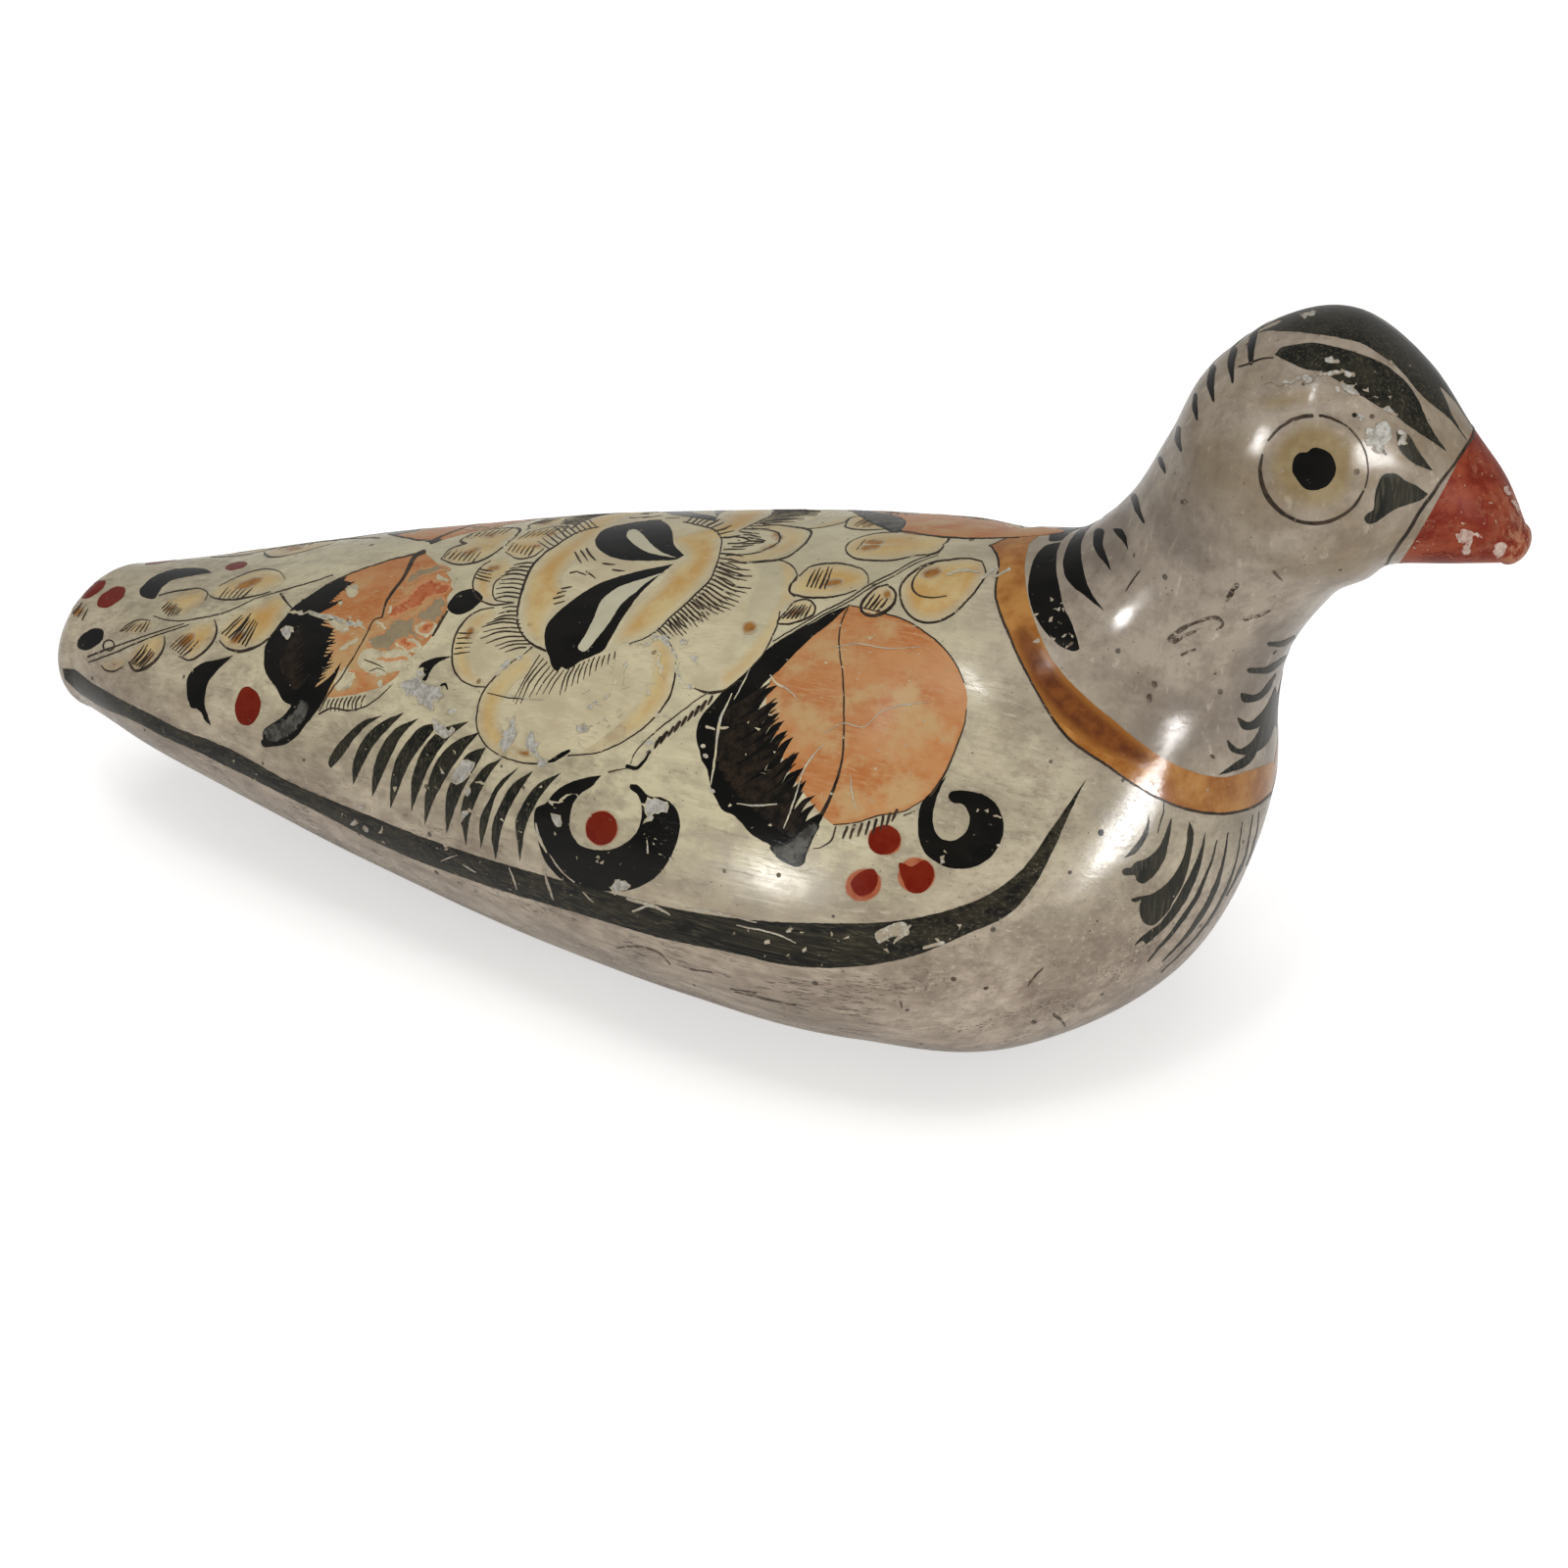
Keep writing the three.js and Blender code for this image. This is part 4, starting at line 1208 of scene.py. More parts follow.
paint("flower_ridge_outlines", """flower:
stroke 860,85 760,110 690,150 630,190 600,210 4 6 8
stroke 1270,60 1360,80 1430,105 1455,150 1450,200 5 8 6
fringe 620,190 700,140 850,85 / 560,150 640,92 800,38 11 7
fringe 1290,60 1400,88 1452,140 / 1320,30 1470,60 1540,125 9 7
fringe 745,208 800,190 / 775,258 840,240 3 9""", fine_black, mirrored=False)

# %% Its fringes
paint("flower_fringes", """flower:
fringe 545,260 520,300 495,375 475,430 / 450,270 400,322 360,385 368,432 9 7 0.06
fringe 470,470 465,510 475,550 495,600 540,670 / 385,480 340,545 285,590 300,632 400,692 11 8 0.08
fringe 575,705 610,740 640,775 690,780 / 430,955 450,945 545,910 615,900 7 6 0.05
fringe 720,770 780,745 830,720 880,710 940,690 / 675,890 750,840 820,800 878,760 935,740 10 6 0.03
fringe 1450,215 1425,290 1390,350 1310,430 / 1560,230 1540,330 1500,420 1400,520 13 7 -0.05
fringe 1300,440 1220,515 1150,575 / 1385,530 1290,590 1200,620 11 7 -0.05
fringe 680,385 640,440 645,460 / 730,375 690,425 700,445 4 8
fringe 720,308 800,300 / 762,300 845,335 3 8
fringe 925,292 880,262 / 985,300 940,268 2 8
fringe 1410,905 1160,1105 / 1388,950 1132,1152 9 16
fringe 110,235 250,255 / 150,200 290,205 7 6
fringe 420,200 520,225 / 450,160 550,180 6 6
fringe 262,330 285,290 / 330,350 350,300 4 7
fringe 160,700 180,600 / 235,690 250,600 5 7
spray:
fringe 240,190 430,130 / 330,185 520,120 6 5
fringe 260,165 420,105 / 350,155 500,92 5 5""", fine_black)

# %% [markdown]
# ## The spray towards the neck
# A double stem carries curled petals, each a loop of the fine brush with an ochre spot in it.

# %% Its stems, loops and hatching
paint("spray_fine_lines", """spray:
stroke 650,60 665,65 640,110 600,150 560,185 510,220 470,232 400,240 330,245 260,240 4 6 8 5
stroke 650,60 590,82 500,142 400,198 250,215 4 5 4
stroke 450,575 560,510 680,440 760,400 850,340 950,290 1050,235 1150,200 4 5 5 3
stroke 455,588 565,521 684,452 765,411 855,352 955,301 1055,246 1145,212 4 5 4 2
stroke 1110,210 1050,215 950,235 850,235 790,225 763,203 755,185 770,160 800,140 850,130 4 7 5
stroke 1150,140 1170,165 1160,186 1110,210 4 7 4
stroke 900,150 830,160 800,190 3 5 3
stroke 850,332 850,310 835,280 790,260 720,248 660,250 600,265 560,300 4 7 5
stroke 800,360 740,380 650,392 560,385 520,370 530,330 550,300 4 9 5
stroke 500,455 545,408 600,403 627,430 622,457 572,487 500,503 468,500 500,455 5 9 7
stroke 930,338 965,370 960,410 930,445 890,465 845,465 820,445 825,410 850,380 885,350 930,338 8 14 12 7
stroke 1330,240 1345,290 1320,340 1260,410 1200,465 1130,495 1060,490 1010,450 985,390 985,350 1010,310 1060,270
  1120,245 1200,232 1280,228 1330,240 6 9 9 6
stroke 1130,245 1070,275 1040,320 1035,350 1060,380 1110,392 1180,385 4 8 4
fringe 590,345 665,355 / 630,270 700,265 5 9
fringe 490,480 580,478 / 545,425 610,425 6 9
fringe 835,435 890,450 / 880,375 930,400 4 10
fringe 230,250 205,310 150,375 85,425 10,490 / 350,275 335,365 250,445 120,500 35,530 19 7 0.05
""", fine_black)

# %% [markdown]
# ## The right leaf
# The biggest leaf: a coral wash with its outer half in black, brushed in spikes, a midrib between,
# and a fringe and a curled tendril below it.

# %% Coral and black
details["right_leaf"] = Detail(690, 600, 4.3556)
paint("right_leaf_coral", """right_leaf:
patch 760,80! 840,92 930,115 1010,140 1080,180 1150,230 1210,290 1250,350 1280,420 1292,480 1290,540 1280,610
  1250,690 1215,780 1180,850 1140,905 1100,940 1010,990 900,1010 800,1040 700,1050 640,1000 560,900 450,700
  400,500 450,345 620,200""", coral_wash)
details["brushed"] = Detail(700, 640, 10 / 3)
paint("right_leaf_black", """brushed:
patch 554,-74! 490,-48 430,-14 375,12 330,40 275,78 225,132 180,175 130,215 90,260 55,300 38,340 35,375 46,420
  54,455 70,480 80,520 86,548 106,590 130,626 160,638 190,668 222,704 250,722 290,744 310,785 345,804 375,815
  397,808 412,770 432,720 456,665 476,625! 440,640 406,662! 420,632 443,600! 408,618 384,640! 410,602 442,570!
  398,588 366,622! 386,574 409,520! 372,548 344,590! 370,532 400,478! 352,498 322,536! 356,476 386,425! 340,448
  308,490! 334,428 365,372! 324,398 296,446! 320,396 345,350! 306,370 282,402! 306,360 335,317! 294,336 266,372!
  290,330 320,290! 278,306 252,338! 280,294 315,255! 270,266 238,294! 270,240 313,197! 262,214 228,246! 262,196
  308,154! 345,118 385,76 425,38 465,6 505,-26""", black_slip)
paint("right_leaf_brown_brushwork", """brushed:
fringe 140,300 110,400 130,480 190,560 290,650 360,700 / 292,185 300,280 330,370 368,450 395,545 420,620 15 30
  0.02 1.2 0.8 0.05""", thin_black)
# Painted reflection: a grey veil of sheen over the black at the leaf's lower tip, beside a window's highlight.
paint("right_leaf_painted_sheen", """brushed:
patch 285,748 330,735 380,700 430,660 452,668 430,722 410,772 394,806 374,812 342,800 312,782
""", black_smear_and_painted_sheen)
paint("right_leaf_fine_lines", """right_leaf:
stroke 765,82 740,140 725,200 725,270 740,380 745,500 745,640 740,740 715,850 680,940 650,1000 6 6 7 9 18
stroke 765,78 850,92 930,115 1010,140 1080,180 1150,230 1210,290 1250,350 1280,420 4 6 7 5
stroke 1290,540 1280,610 1250,690 1215,780 1180,850 1130,920 4 7 9 14
stroke 1100,942 1010,992 900,1012 800,1042 700,1052 4 6 4
stroke 710,1060 690,1120 650,1150 610,1160 6 7 4
stroke 1010,1012 1060,990 6 4
brushed:
fringe 548,680 605,668 690,636 718,622 / 534,718 590,710 664,690 700,660 8 9 0 1 1 0.6""", fine_black)

# %% The far leaf, seen along the ridge
details["photo"] = Detail(0, 0, 1)
paint("ridge_leaf_coral", """photo:
patch 893,522 960,526 1020,533 1086,543 1040,548 960,547 915,541
""", coral_wash, lift=top_coat, mirrored=False)
paint("ridge_leaf_black", """photo:
patch 866,520! 900,524 925,534 918,543 896,537
stroke 918,542 960,548 1040,549 1.6 1.2 0.6""", black_smear_and_painted_sheen, lift=top_coat + 0.01, mirrored=False)

# %% The curl and the three red dots
paint("right_curl", """right_leaf:
patch 1200,840! 1140,900 1095,950 1075,1040 1080,1120 1100,1170 1150,1215 1220,1245 1300,1245 1380,1210
  1430,1150 1455,1080 1450,1020 1420,960 1370,920 1310,905 1250,900 1215,910 1210,930 1230,955 1270,960 1295,990
  1305,1030 1290,1080 1260,1110 1220,1125 1180,1115 1150,1080 1140,1030 1150,960 1170,900""", black_slip)
paint("side_red_dots", """photo:
patch 888,850 900,842 914,846 919,858 912,869 898,872 887,864
patch 918,880 930,884 944,878 952,886 950,902 940,911 928,910 921,898
patch 868,902 878,890 892,887 896,896 890,910 876,914
oval 614,845 16 17.5 10""", dot_red, lift=body_coat)
paint("side_dot_rims", """photo:
oval 903,857 18 16 20
oval 935,893 20 19 0
oval 881,903 20 17 -20
oval 614,845 17.5 19 10""", dot_rim)

# %% [markdown]
# ## The feather comb and the ring
# Eleven pressed-and-lifted strokes stand like feathers in a row, followed by an open ring round a
# red dot. Each stroke starts fine at its top right, swells and ends in a point below.

# %% The comb and the ring
details["comb"] = Detail(320, 710, 3.92)
paint("feather_comb", """comb:
patch 275,78! 200,100 130,160 80,220 62,280 70,290! 100,260 150,190 200,130
patch 360,68! 290,95 220,150 170,230 155,290 160,355! 195,280 240,200 300,130
patch 420,90! 330,130 280,190 245,270 235,340 235,405! 270,330 310,240 360,150
patch 500,110! 430,125 370,190 325,270 308,350 308,450! 345,360 390,260 440,190
patch 620,103! 520,130 470,170 420,250 395,330 392,460! 430,360 470,270 540,170
patch 665,145! 570,180 500,250 460,340 445,420 445,515! 490,400 540,310 610,210
patch 690,205! 620,230 570,310 535,380 527,450 533,550! 570,440 610,350 650,280
patch 755,250! 690,280 640,340 600,410 590,460 610,600! 630,470 660,400 700,320
patch 820,285! 740,350 700,420 670,480 668,610! 700,500 730,400 780,330
patch 880,300! 800,350 750,430 720,500 712,560 730,655! 755,520 790,440 830,370
patch 990,308! 890,360 840,430 810,500 815,580 827,660! 850,520 890,430 940,360""", upright_black)
paint("side_ring", """comb:
patch 1150,318! 1080,330 1020,350 960,390 930,430 890,450 882,500 895,560 910,620 940,680 990,730 1040,760
  1100,770 1180,782 1260,778 1340,745 1400,690 1440,620 1460,560 1465,500 1440,440 1400,410 1340,400 1290,355
  1268,355! 1265,368 1290,390 1310,430 1312,480 1300,530 1260,580 1200,612 1120,615 1070,600 1030,550 1025,490
  1040,430 1070,390 1110,365
flower:
stroke 600,1228 640,1215 680,1190 715,1170 6 20 22 14
stroke 1000,1245 1040,1255 1080,1220 1110,1170 20 15 6""", black_slip)
paint("side_fine_lines", """comb:
stroke 1180,305 1250,290 6 3""", fine_black)

# %% [markdown]
# ## The long side stripe
# One loaded stroke runs from the tail along the widest line and sweeps up to a point on the
# breast, where the two moulded halves of the body meet.

# %% The stripe
paint("side_stripe", """photo:
patch 64,682! 75,683 90,694 122,713 156,730 183,744 221,758 244,769 290,795 381,834 420,850 529,886 607,907
  687,927 760,938 838,942 920,939 970,928 1010,912 1040,890 1072,847 1108,795! 1090,833 1072,873 1056,902
  1033,930 987,953 930,976 861,987 792,983 760,975 675,957 584,930 492,902 400,867 335,834 244,788 197,765
  166,751 138,736 101,720 81,707 66,693!""", stripe_black)

# %% [markdown]
# ## The collar
# A band of amber slip rings the neck over the luted joint, darker in its middle where the brush
# ran twice, with a fine dark line under it.

# %% The collar band
collar_lower = [(1008, 553), (1017, 566), (1016, 608), (1031, 651), (1058, 706), (1089, 752), (1128, 780),
                (1175, 811), (1213, 826), (1252, 830), (1283, 821), (1301, 806)]
collar_upper = [(1302, 776), (1275, 786), (1248, 793), (1222, 789), (1186, 773), (1150, 748), (1118, 729),
                (1086, 694), (1062, 650), (1048, 604), (1046, 576), (1051, 550)]
paint("collar_band", [np.concatenate([curve(collar_lower), curve(collar_upper)])], amber_slip)
paint("collar_pool", """photo:
stroke 1044,648 1066,690 1092,721 1124,747 1166,774 20 32 36 34 22""", amber_pool)
paint("collar_line", [stroke_outline(collar_lower, (2, 2.6, 2.2, 3, 2.2, 3, 2.4))], fine_black)

# %% [markdown]
# ## The nape and the neck
# Two big curved strokes stand behind the collar, then short ticks climb the nape to the crown.

# %% The nape
details["nape"] = Detail(1040, 540, 5.2267)
details["crown"] = Detail(1180, 300, 7.127)
paint("nape_strokes", """nape:
patch 220,70! 150,85 90,140 60,220 48,310 60,400 100,490 170,580 240,635 300,650 322,640! 310,590 280,500
  240,420 215,310 198,200 205,110
patch 355,15! 290,40 255,100 235,180 245,250 290,310 350,355 420,410 455,435! 390,350 350,250 330,150 335,60
patch 410,0 395,60 400,100 440,160 490,220! 470,150 445,80 445,0
patch 500,0 520,30 550,60 580,108! 565,30 545,0
photo:
stroke 1157,507 1161,520 1167,533 7 6 2
crown:
stroke 25,1195 42,1240 62,1300 30 34 12
stroke 160,975 155,1060 178,1140 28 42 14
stroke 285,735 280,830 295,912 26 38 14
stroke 412,535 395,640 415,780 44 56 14
stroke 565,405 545,490 552,640 50 50 16
stroke 715,285 690,390 690,505 44 54 26""", black_slip)
paint("neck_fine_lines", """crown:
stroke 600,530 680,505 760,472 850,465 9 14 8
nape:
stroke 645,220 600,280 570,330 5 8 5
stroke 1150,310 1130,340 1110,360 14 24 8
stroke 1210,480 1270,465 1330,440 6 12 6""", fine_black)

# %% [markdown]
# ## The throat and the breast
# Grey strokes hang in rows down the throat, and a fan of longer ones spreads over the breast below
# the collar, each swelling towards its foot.

# %% Throat and breast
details["breast"] = Detail(1100, 770, 6.533)
paint("throat_strokes", """photo:
patch 1243,791! 1262,777 1277,765 1285,753! 1282,768 1274,780 1258,787
patch 1252,755 1264,764 1276,758 1283,748 1292,722 1302,703! 1306,722 1300,742 1290,762 1272,770 1256,766
patch 1263,732 1274,737 1286,728 1302,700! 1296,722 1284,742 1268,744
patch 1266,708 1279,709 1302,687! 1294,706 1280,716 1268,716
stroke 1275,684 1291,684 1313,670 5 7 3
stroke 1295,657 1308,657 1321,650 4 6 3""", upright_black)
paint("breast_strokes", """breast:
patch 470,400! 455,480 415,560 370,615 310,690! 365,668 430,600 466,530 475,450
stroke 575,310 570,380 550,450 530,520 6 10 5
patch 625,415! 615,530 600,600 580,690 540,760 480,830 430,860 390,840 380,800 340,805 300,800 290,775 312,757
  350,755 385,715 440,700 520,640 560,580 595,490
patch 745,445! 765,490 765,590 740,720 720,800 690,880 640,970 600,1040 560,1090 520,1125 480,1140 440,1120
  415,1070 412,1000 425,965 380,985 350,970 375,955 430,945 480,935 540,900 600,850 660,770 700,690 722,600
  730,500
patch 848,515! 845,580 830,680 800,790 760,890 720,970 660,1060 600,1130 540,1190 470,1250 450,1265 440,1242
  375,1275! 400,1240 470,1180 540,1130 590,1070 630,1010 680,920 740,810 790,700 820,620
stroke 925,570 900,680 850,810 800,930 740,1030 670,1130 600,1220 530,1300 465,1375 6 14 28 30 22 8
stroke 1000,520 980,650 950,780 910,900 850,1020 780,1130 720,1210 650,1290 560,1380 6 16 34 34 20 6
stroke 1095,450 1080,560 1060,680 1030,790 990,890 940,990 890,1080 800,1200 700,1310 555,1450 4 8 18 16 10 5
stroke 1165,400 1150,500 1130,620 1100,720 1055,820 990,940 4 10 18 8
stroke 1205,380 1195,500 1165,620 1120,740 4 8 12 6
oval 152,522 20 24""", upright_black)

# %% [markdown]
# ## The head
# Two long strokes sweep over each side of the crown towards the beak, a comma marks the lore, and
# the eye is a black dot in a ring drawn with one turn of a fine brush.

# %% Crown, lore and eye
details["face"] = Detail(1340, 300, 4.9)
paint("crown_strokes", """photo:
patch 1283,340! 1299,333 1320,322 1334,318 1352,318 1381,321 1405,331 1426,343 1442,359 1456,376 1467,392
  1475,408 1481,422 1487,433 1497,450! 1483,431 1471,420 1458,410 1446,398 1436,386 1422,371 1407,361 1391,351
  1373,346 1334,340 1313,338 1290,338
patch 1301,362! 1306,356 1320,352 1340,350 1362,354 1381,359 1397,365 1411,371 1426,382 1438,394 1446,406
  1452,420 1458,433 1464,443 1476,461! 1462,451 1450,443 1438,435 1428,427 1417,419 1405,414 1393,406 1381,400
  1370,392 1350,380 1330,376 1314,369
face:
patch 420,685 470,700 510,760 550,820 600,885! 540,865 480,830 440,790 420,740
stroke 290,712 320,755 362,800 16 34 12
patch 380,895 420,900 455,930 500,950 575,1000! 540,1030 480,1050 420,1070 370,1100 330,1130 300,1145 265,1145
  255,1120 270,1100 300,1080 305,1020 320,960 345,910
oval 205,605 14 12""", upright_black)
eye_pixel = (1341, 479)


def eye_arc(start, end, *widths):
    """Part of the ring round the eye, from one angle in degrees to another, clockwise from the right."""
    return stroke_outline([(eye_pixel[0] + 55 * math.cos(t), eye_pixel[1] + 55 * math.sin(t))
                           for t in np.radians(np.linspace(start, end, 9))], widths)


paint("eye_tint", """photo:
patch 1294,470 1300,450 1318,434 1340,428 1364,436 1380,452 1386,480 1370,510 1340,520 1312,512 1298,494
patch 1270,412 1300,400 1350,398 1372,408 1340,414 1300,420""", eye_ochre)
paint("eye_rings", [
    eye_arc(-50, 20, 2, 1.4), eye_arc(24, 120, 2.2, 3.6, 3.4), eye_arc(116, 196, 3.4, 5, 4.6, 2),
    eye_arc(212, 268, 2, 3.4, 4), eye_arc(276, 308, 2.6, 3, 1.4)], fine_black)
paint("eye_pupils", """photo:
patch 1340,457 1349,458 1357,463 1363,475 1360,489 1352,497 1342,500 1331,498 1324,490 1319,482 1320,470
  1326,462 1334,461""", black_slip)

# %% [markdown]
# ## The beak's edge, and the chips
# A fine dark line closes the beak against the face. The beak has been knocked, so pale clay shows
# in rough patches near its tip.

# %% The beak line and chips
paint("beak_line", """photo:
stroke 1507,440 1495,457 1483,475 1470,492 1462,504 1450,520 1440,537 1428,555 1417,572 1415,578 3.4 2.6 3.2 3.4
  2.2""", fine_black)
paint("beak_chips", """face:
patch 700,1210 715,1192 748,1172 800,1180 862,1196 852,1212 812,1216 792,1240 790,1278 762,1306 738,1290
  748,1258 722,1236
patch 884,1248 922,1232 958,1244 984,1284 962,1318 930,1326 896,1302 902,1272
patch 805,805 820,815 832,845 818,835
stroke 846,1020 866,1036 884,1052 6 14 5
oval 620,1125 10 8
patch 950,950 972,962 990,1004 976,1016 962,986
patch 1000,1030 1022,1040 1038,1090 1020,1100 1006,1066
stroke 1040,1110 1058,1170 1068,1230 4 12 6
stroke 560,1290 640,1300 740,1312 820,1326 4 8 5 8
stroke 500,1270 520,1240 548,1206 12 10 4""", chip_pink, mirrored=False, torn=True)

# %% [markdown]
# ## Chips, scratches and scuffs
# Knocks have flaked the slip off in ragged chalky patches, and dragging has left pale scratches.
# They are as old as the bird, not painted, so they are on this side alone and are never mirrored.

# %% Flaked patches round the flower, the comb and the ring
details["worn"] = Detail(420, 620, 4)
paint("flaked_patches", """worn:
stroke 345,278 395,225 440,195 480,160 6 20 16 8
patch 400,478! 425,448 432,500 415,562 385,582 345,572 372,530
patch 462,508! 488,503 512,540 525,590 558,640 538,664! 512,618 478,585
stroke 895,150 960,146 1010,120 1050,150 1070,190 1082,270 1120,320 1160,336 6 14 22 20 12 14 20 5
stroke 862,205 868,260 866,322 6 9 5
stroke 1002,168 1016,230 1036,296 5 11 7
stroke 825,200 822,268 5 7
patch 730,362 752,372 772,400 750,392 734,398 720,380
patch 672,482 700,468 716,484 742,476 738,494 705,506 684,498
patch 80,462 112,452 138,480 172,500 160,524 118,522 92,500
patch 150,420 190,425 182,440 152,434
patch 196,636! 228,616 252,628 240,676 212,704 168,702 182,668
oval 232,746 15 18
patch 205,836 236,820 252,832 228,846 214,866
patch 946,806! 970,774 1008,782 1048,802 1042,832 1002,842 966,862 944,874! 956,836
patch 806,1140 832,1112 872,1110 898,1136 870,1156 826,1166
patch 262,706 300,706 304,722 268,718
patch 575,836 598,850 612,890 592,892 576,862
stroke 565,795 610,786 650,764 690,772 742,748 3 9 4 9 3
patch 1098,130 1132,124 1122,142 1100,142
patch 1140,190 1176,198 1168,222 1142,218""", chip_grey, mirrored=False, torn=True)

# %% Scattered flecks where the slip lifted
def flecks_in(box, count, size, seed):
    """Small ragged flecks at seeded places in a box given as left, top, right and bottom."""
    shaken = np.random.default_rng(seed)
    places = shaken.uniform((box[0], box[1]), (box[2], box[3]), (count, 2))
    sizes = size * shaken.uniform(0.4, 2.2, (count, 2))
    return [details["photo"].patch([(x + a * math.cos(t) * k, y + b * math.sin(t) * k) for t, k in zip(
        np.linspace(0, 2 * math.pi, 7)[:-1], shaken.uniform(0.6, 1.3, 6))])[0]
            for (x, y), (a, b) in zip(places, sizes)]


paint("lifted_flecks", [
    *flecks_in((430, 730, 590, 870), 30, 1.5, 1), *flecks_in((548, 815, 690, 908), 28, 1.3, 2),
    *flecks_in((590, 690, 690, 760), 20, 1.7, 3), *flecks_in((712, 720, 790, 850), 12, 1.2, 4),
    *flecks_in((1056, 610, 1100, 655), 14, 1.7, 5), *flecks_in((960, 800, 1030, 880), 10, 1.7, 6),
    *flecks_in((330, 600, 420, 700), 12, 1.6, 7), *flecks_in((760, 940, 1000, 985), 16, 1.7, 8),
    *flecks_in((1340, 355, 1430, 410), 12, 1.8, 9), *flecks_in((330, 780, 470, 850), 16, 1.6, 10),
], chip_grey, mirrored=False, torn=True)

# %% Long pale scratches
paint("pale_scratches", """worn:
stroke 1308,352 1290,392 1266,440 1250,520 1240,610 1222,722 4 9 12 8 10 4
stroke 1382,250 1352,312 1318,376 3 6 3
stroke 1206,488 1238,496 12 8
stroke 1266,492 1292,490 12 7
stroke 1328,800 1400,808 1492,802 3 9 4
oval 1190,566 12 8
oval 1200,606 13 9 30
oval 1226,748 16 9 20
stroke 398,1060 415,1102 430,1150 3 7 4
stroke 208,1048 238,1066 262,1080 3 7 3
stroke 120,1034 150,1022 186,1010 3 6 3
stroke 700,1160 724,1186 742,1202 4 7 3
stroke 960,950 966,1000 4 8
stroke 136,706 170,680 3 6
stroke 566,1010 600,1060 640,1100 664,1120 3 7 4 7
stroke 508,880 522,940 552,1000 5 14 6
stroke 400,356 470,372 540,376 3 5 3
photo:
stroke 786,689 792,697 803,703 812,711 1 2.5 1.5 1
stroke 868,790 870,812 874,826 0.6 1.6 0.6
stroke 700,926 735,932 772,941 1 2.4 1
stroke 640,917 668,925 684,933 2 4 1.5
stroke 646,930 668,921 2 3
stroke 752,944 800,956 812,962 1 2 1
patch 893,953 905,945 924,942 928,952 910,956 896,962
stroke 912,962 922,952 929,944 2 5 2
stroke 943,967 962,962 3 4
stroke 556,888 560,905 565,918 1 3 1.5
stroke 1002,590 1018,580 1014,588 1030,581 3 4 2 3
stroke 966,587 980,582 998,584 2 4 2
stroke 850,661 876,657 905,662 940,660 0.5 1.2 0.7 0.5
stroke 842,748 862,738 880,742 900,726 948,716 0.5 1.1 0.6 1.2 0.4
stroke 800,845 812,812 820,786 836,764 840,760 1 2 1 2 0.8""", chalk_white, mirrored=False)

# %% Dark scuffs on the neck, and knocks on the head
paint("neck_scuffs", """photo:
stroke 1194,652 1206,642 1224,634 1243,631 1248,637 1242,643 6 5 3 3.5 4 2
stroke 1198,655 1212,647 1228,641 4 3 2
stroke 1262,597 1256,606 1250,616 5 6 2
stroke 1270,632 1280,629 1296,623 4 2.5 1
oval 1178,698 4 3 60
oval 1173,712 3 5
oval 1245,706 2.5 3
oval 1237,772 3 2 40
stroke 1300,584 1308,592 3 2
stroke 1206,668 1220,662 3 2
stroke 1088,661 1094,656 2 3
oval 1053,1002 3.5 2.5
oval 973,999 3 2.5
stroke 1049,1006 1056,996 1064,988 1 2 1
oval 1006,1008 3 1.6 -20
stroke 1076,1036 1082,1040 1087,1047 4 3 1.5
oval 1055,1043 3 2
stroke 750,1012 775,1018 812,1026 1 2.2 1
stroke 745,1009 772,1013 1 1.6
stroke 630,967 655,966 672,972 684,984 1 1.6 2 1
stroke 704,989 726,992 1.6 1.2
stroke 918,1018 920,1028 2 1.4
oval 1400,425 3 2.5
oval 1208,512 3.5 3
oval 1330,392 2 2""", rubbed_dirt, mirrored=False)
paint("head_knocks", """crown:
stroke 800,650 960,640 1100,610 1240,578 1330,570 1420,590 14 30 36 22 30 20
patch 1210,480 1290,470 1330,500 1270,520 1220,515
patch 1345,690 1400,660 1460,640 1440,700 1470,720 1400,730
patch 1030,150 1120,130 1190,140 1130,165 1060,175
patch 1640,830 1700,810 1720,850 1760,870 1690,880
photo:
patch 1395,445 1403,434 1414,430 1422,440 1418,452 1408,462 1398,458
patch 1427,440 1436,446 1434,456 1426,450
oval 1388,425 3 4 40""", chip_grey, mirrored=False, torn=True)

# %% [markdown]
# ## Floor and light
# The floor is white to the camera and in reflections, and plain grey to the light, so that no
# colour is thrown back at the bird. It still takes a soft shadow.

# %% Floor and world
floor_mesh = bpy.data.meshes.new("floor")
floor_reach = 3.0
floor_mesh.from_pydata([(x * floor_reach, y * floor_reach, 0) for x, y in
                        ((-1, -1), (1, -1), (1, 1), (-1, 1))], [], [(0, 1, 2, 3)])
floor = bpy.data.objects.new("floor", floor_mesh)
scene.collection.objects.link(floor)
white = "FFFFFF"
floor_paper = new_material("white_paper")
add = partial(add_node, floor_paper.node_tree)
rays = add("LightPath").node.outputs
away = add("VectorMath", place_in_mm(floor_paper.node_tree), operation="LENGTH", out="Value")
seen = add("Math", rays["Is Camera Ray"], add("MapRange", away, 400, 1100, 0.5, 1, **smooth),
           add("Math", rays["Is Glossy Ray"], 0.1, **product), **scaled_sum)
paper = add("AddShader", add("BsdfDiffuse", "DDDCDA"), add("Emission", white, seen))
add("OutputMaterial", paper)
floor_mesh.materials.append(floor_paper)

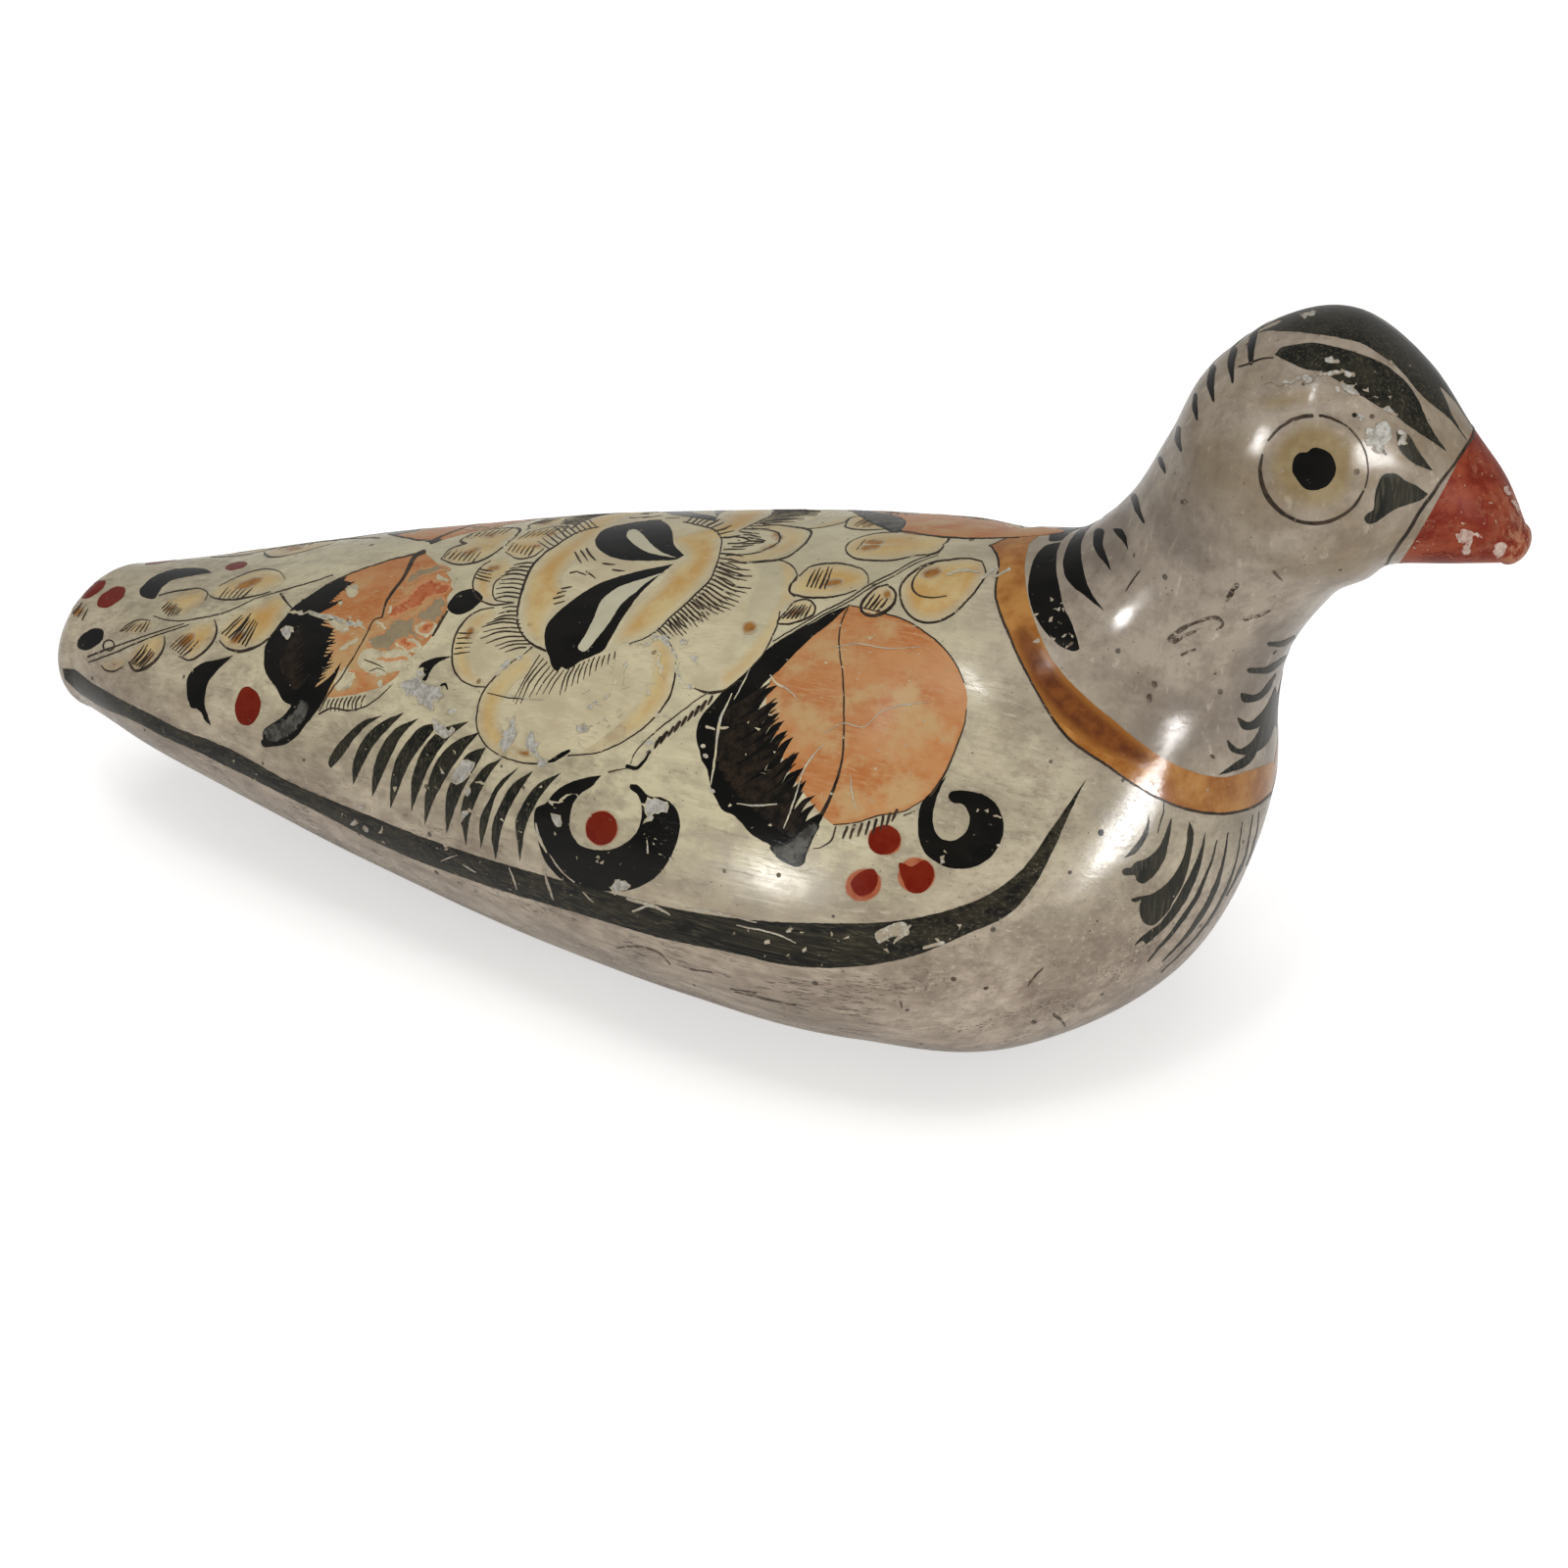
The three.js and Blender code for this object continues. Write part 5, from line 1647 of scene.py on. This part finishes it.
world = bpy.data.worlds.new("studio")
scene.world = world
world.use_nodes = True
world.node_tree.nodes.clear()
add = partial(add_node, world.node_tree)
strength = add("Mix", {0: add("LightPath", out="Is Camera Ray"), 2: 0.39, 3: 1.0})
add("OutputWorld", add("Background", white, strength))


# %% The lamps
def softbox(name, aim_mm, direction, size_mm, watts, distance_mm=800, beam=180, lights=True, shines=False):
    """A soft box that looks at a point from a direction. beam, in degrees, is how far its grid lets
    light spread. It lights the clay, or shines back from its polish."""
    lamp = bpy.data.lights.new(name, "AREA")
    lamp.shape = "RECTANGLE"
    lamp.size, lamp.size_y = (s * mm for s in size_mm)
    lamp.energy = watts
    lamp.spread = math.radians(beam)
    lamp_object = bpy.data.objects.new(name, lamp)
    scene.collection.objects.link(lamp_object)
    outwards = Vector(direction).normalized()
    lamp_object.location = (Vector(aim_mm) + outwards * distance_mm) * mm
    lamp_object.rotation_euler = outwards.to_track_quat("Z", "Y").to_euler()
    lamp_object.visible_camera = False
    lamp_object.visible_diffuse, lamp_object.visible_glossy = lights, shines


middle = (0, 0, 60)
softbox("sky", (0, 0, 50), (-0.1, 0, 1), (900, 900), 4.3, 850)
softbox("right_fill", middle, (0.84, -0.52, 0.14), (90, 250), 2.7)
softbox("low_front_fill", middle, (-0.19, -0.97, 0.11), (80, 60), 1.6)
softbox("ceiling_lamp", middle, (0.04, -0.38, 0.93), (35, 190), 0.8, shines=True)
for name, aim_mm, direction, size_mm, watts, distance_mm, beam in (
        ("left_window_on_the_head", (106, -21, 132), (-0.64, -0.66, 0.39), (26, 44), 0.0026, 100, 26),
        ("left_window_on_the_neck", (87, -19, 96), (-0.68, -0.72, 0.15), (12, 10), 0.0012, 100, 26),
        ("right_window_on_the_head", (123, -18, 132), (0.85, -0.42, 0.24), (38, 38), 0.0044, 100, 26),
        ("right_window_on_the_breast", (96, -30, 64), (0.83, -0.54, -0.05), (34, 46), 0.0046, 120, 24),
        ("front_window_under_the_leaf", (38, -58, 55), (-0.25, -0.96, 0.08), (60, 45), 0.0050, 150, 18)):
    softbox(name, aim_mm, direction, size_mm, watts, distance_mm, beam, lights=False, shines=True)
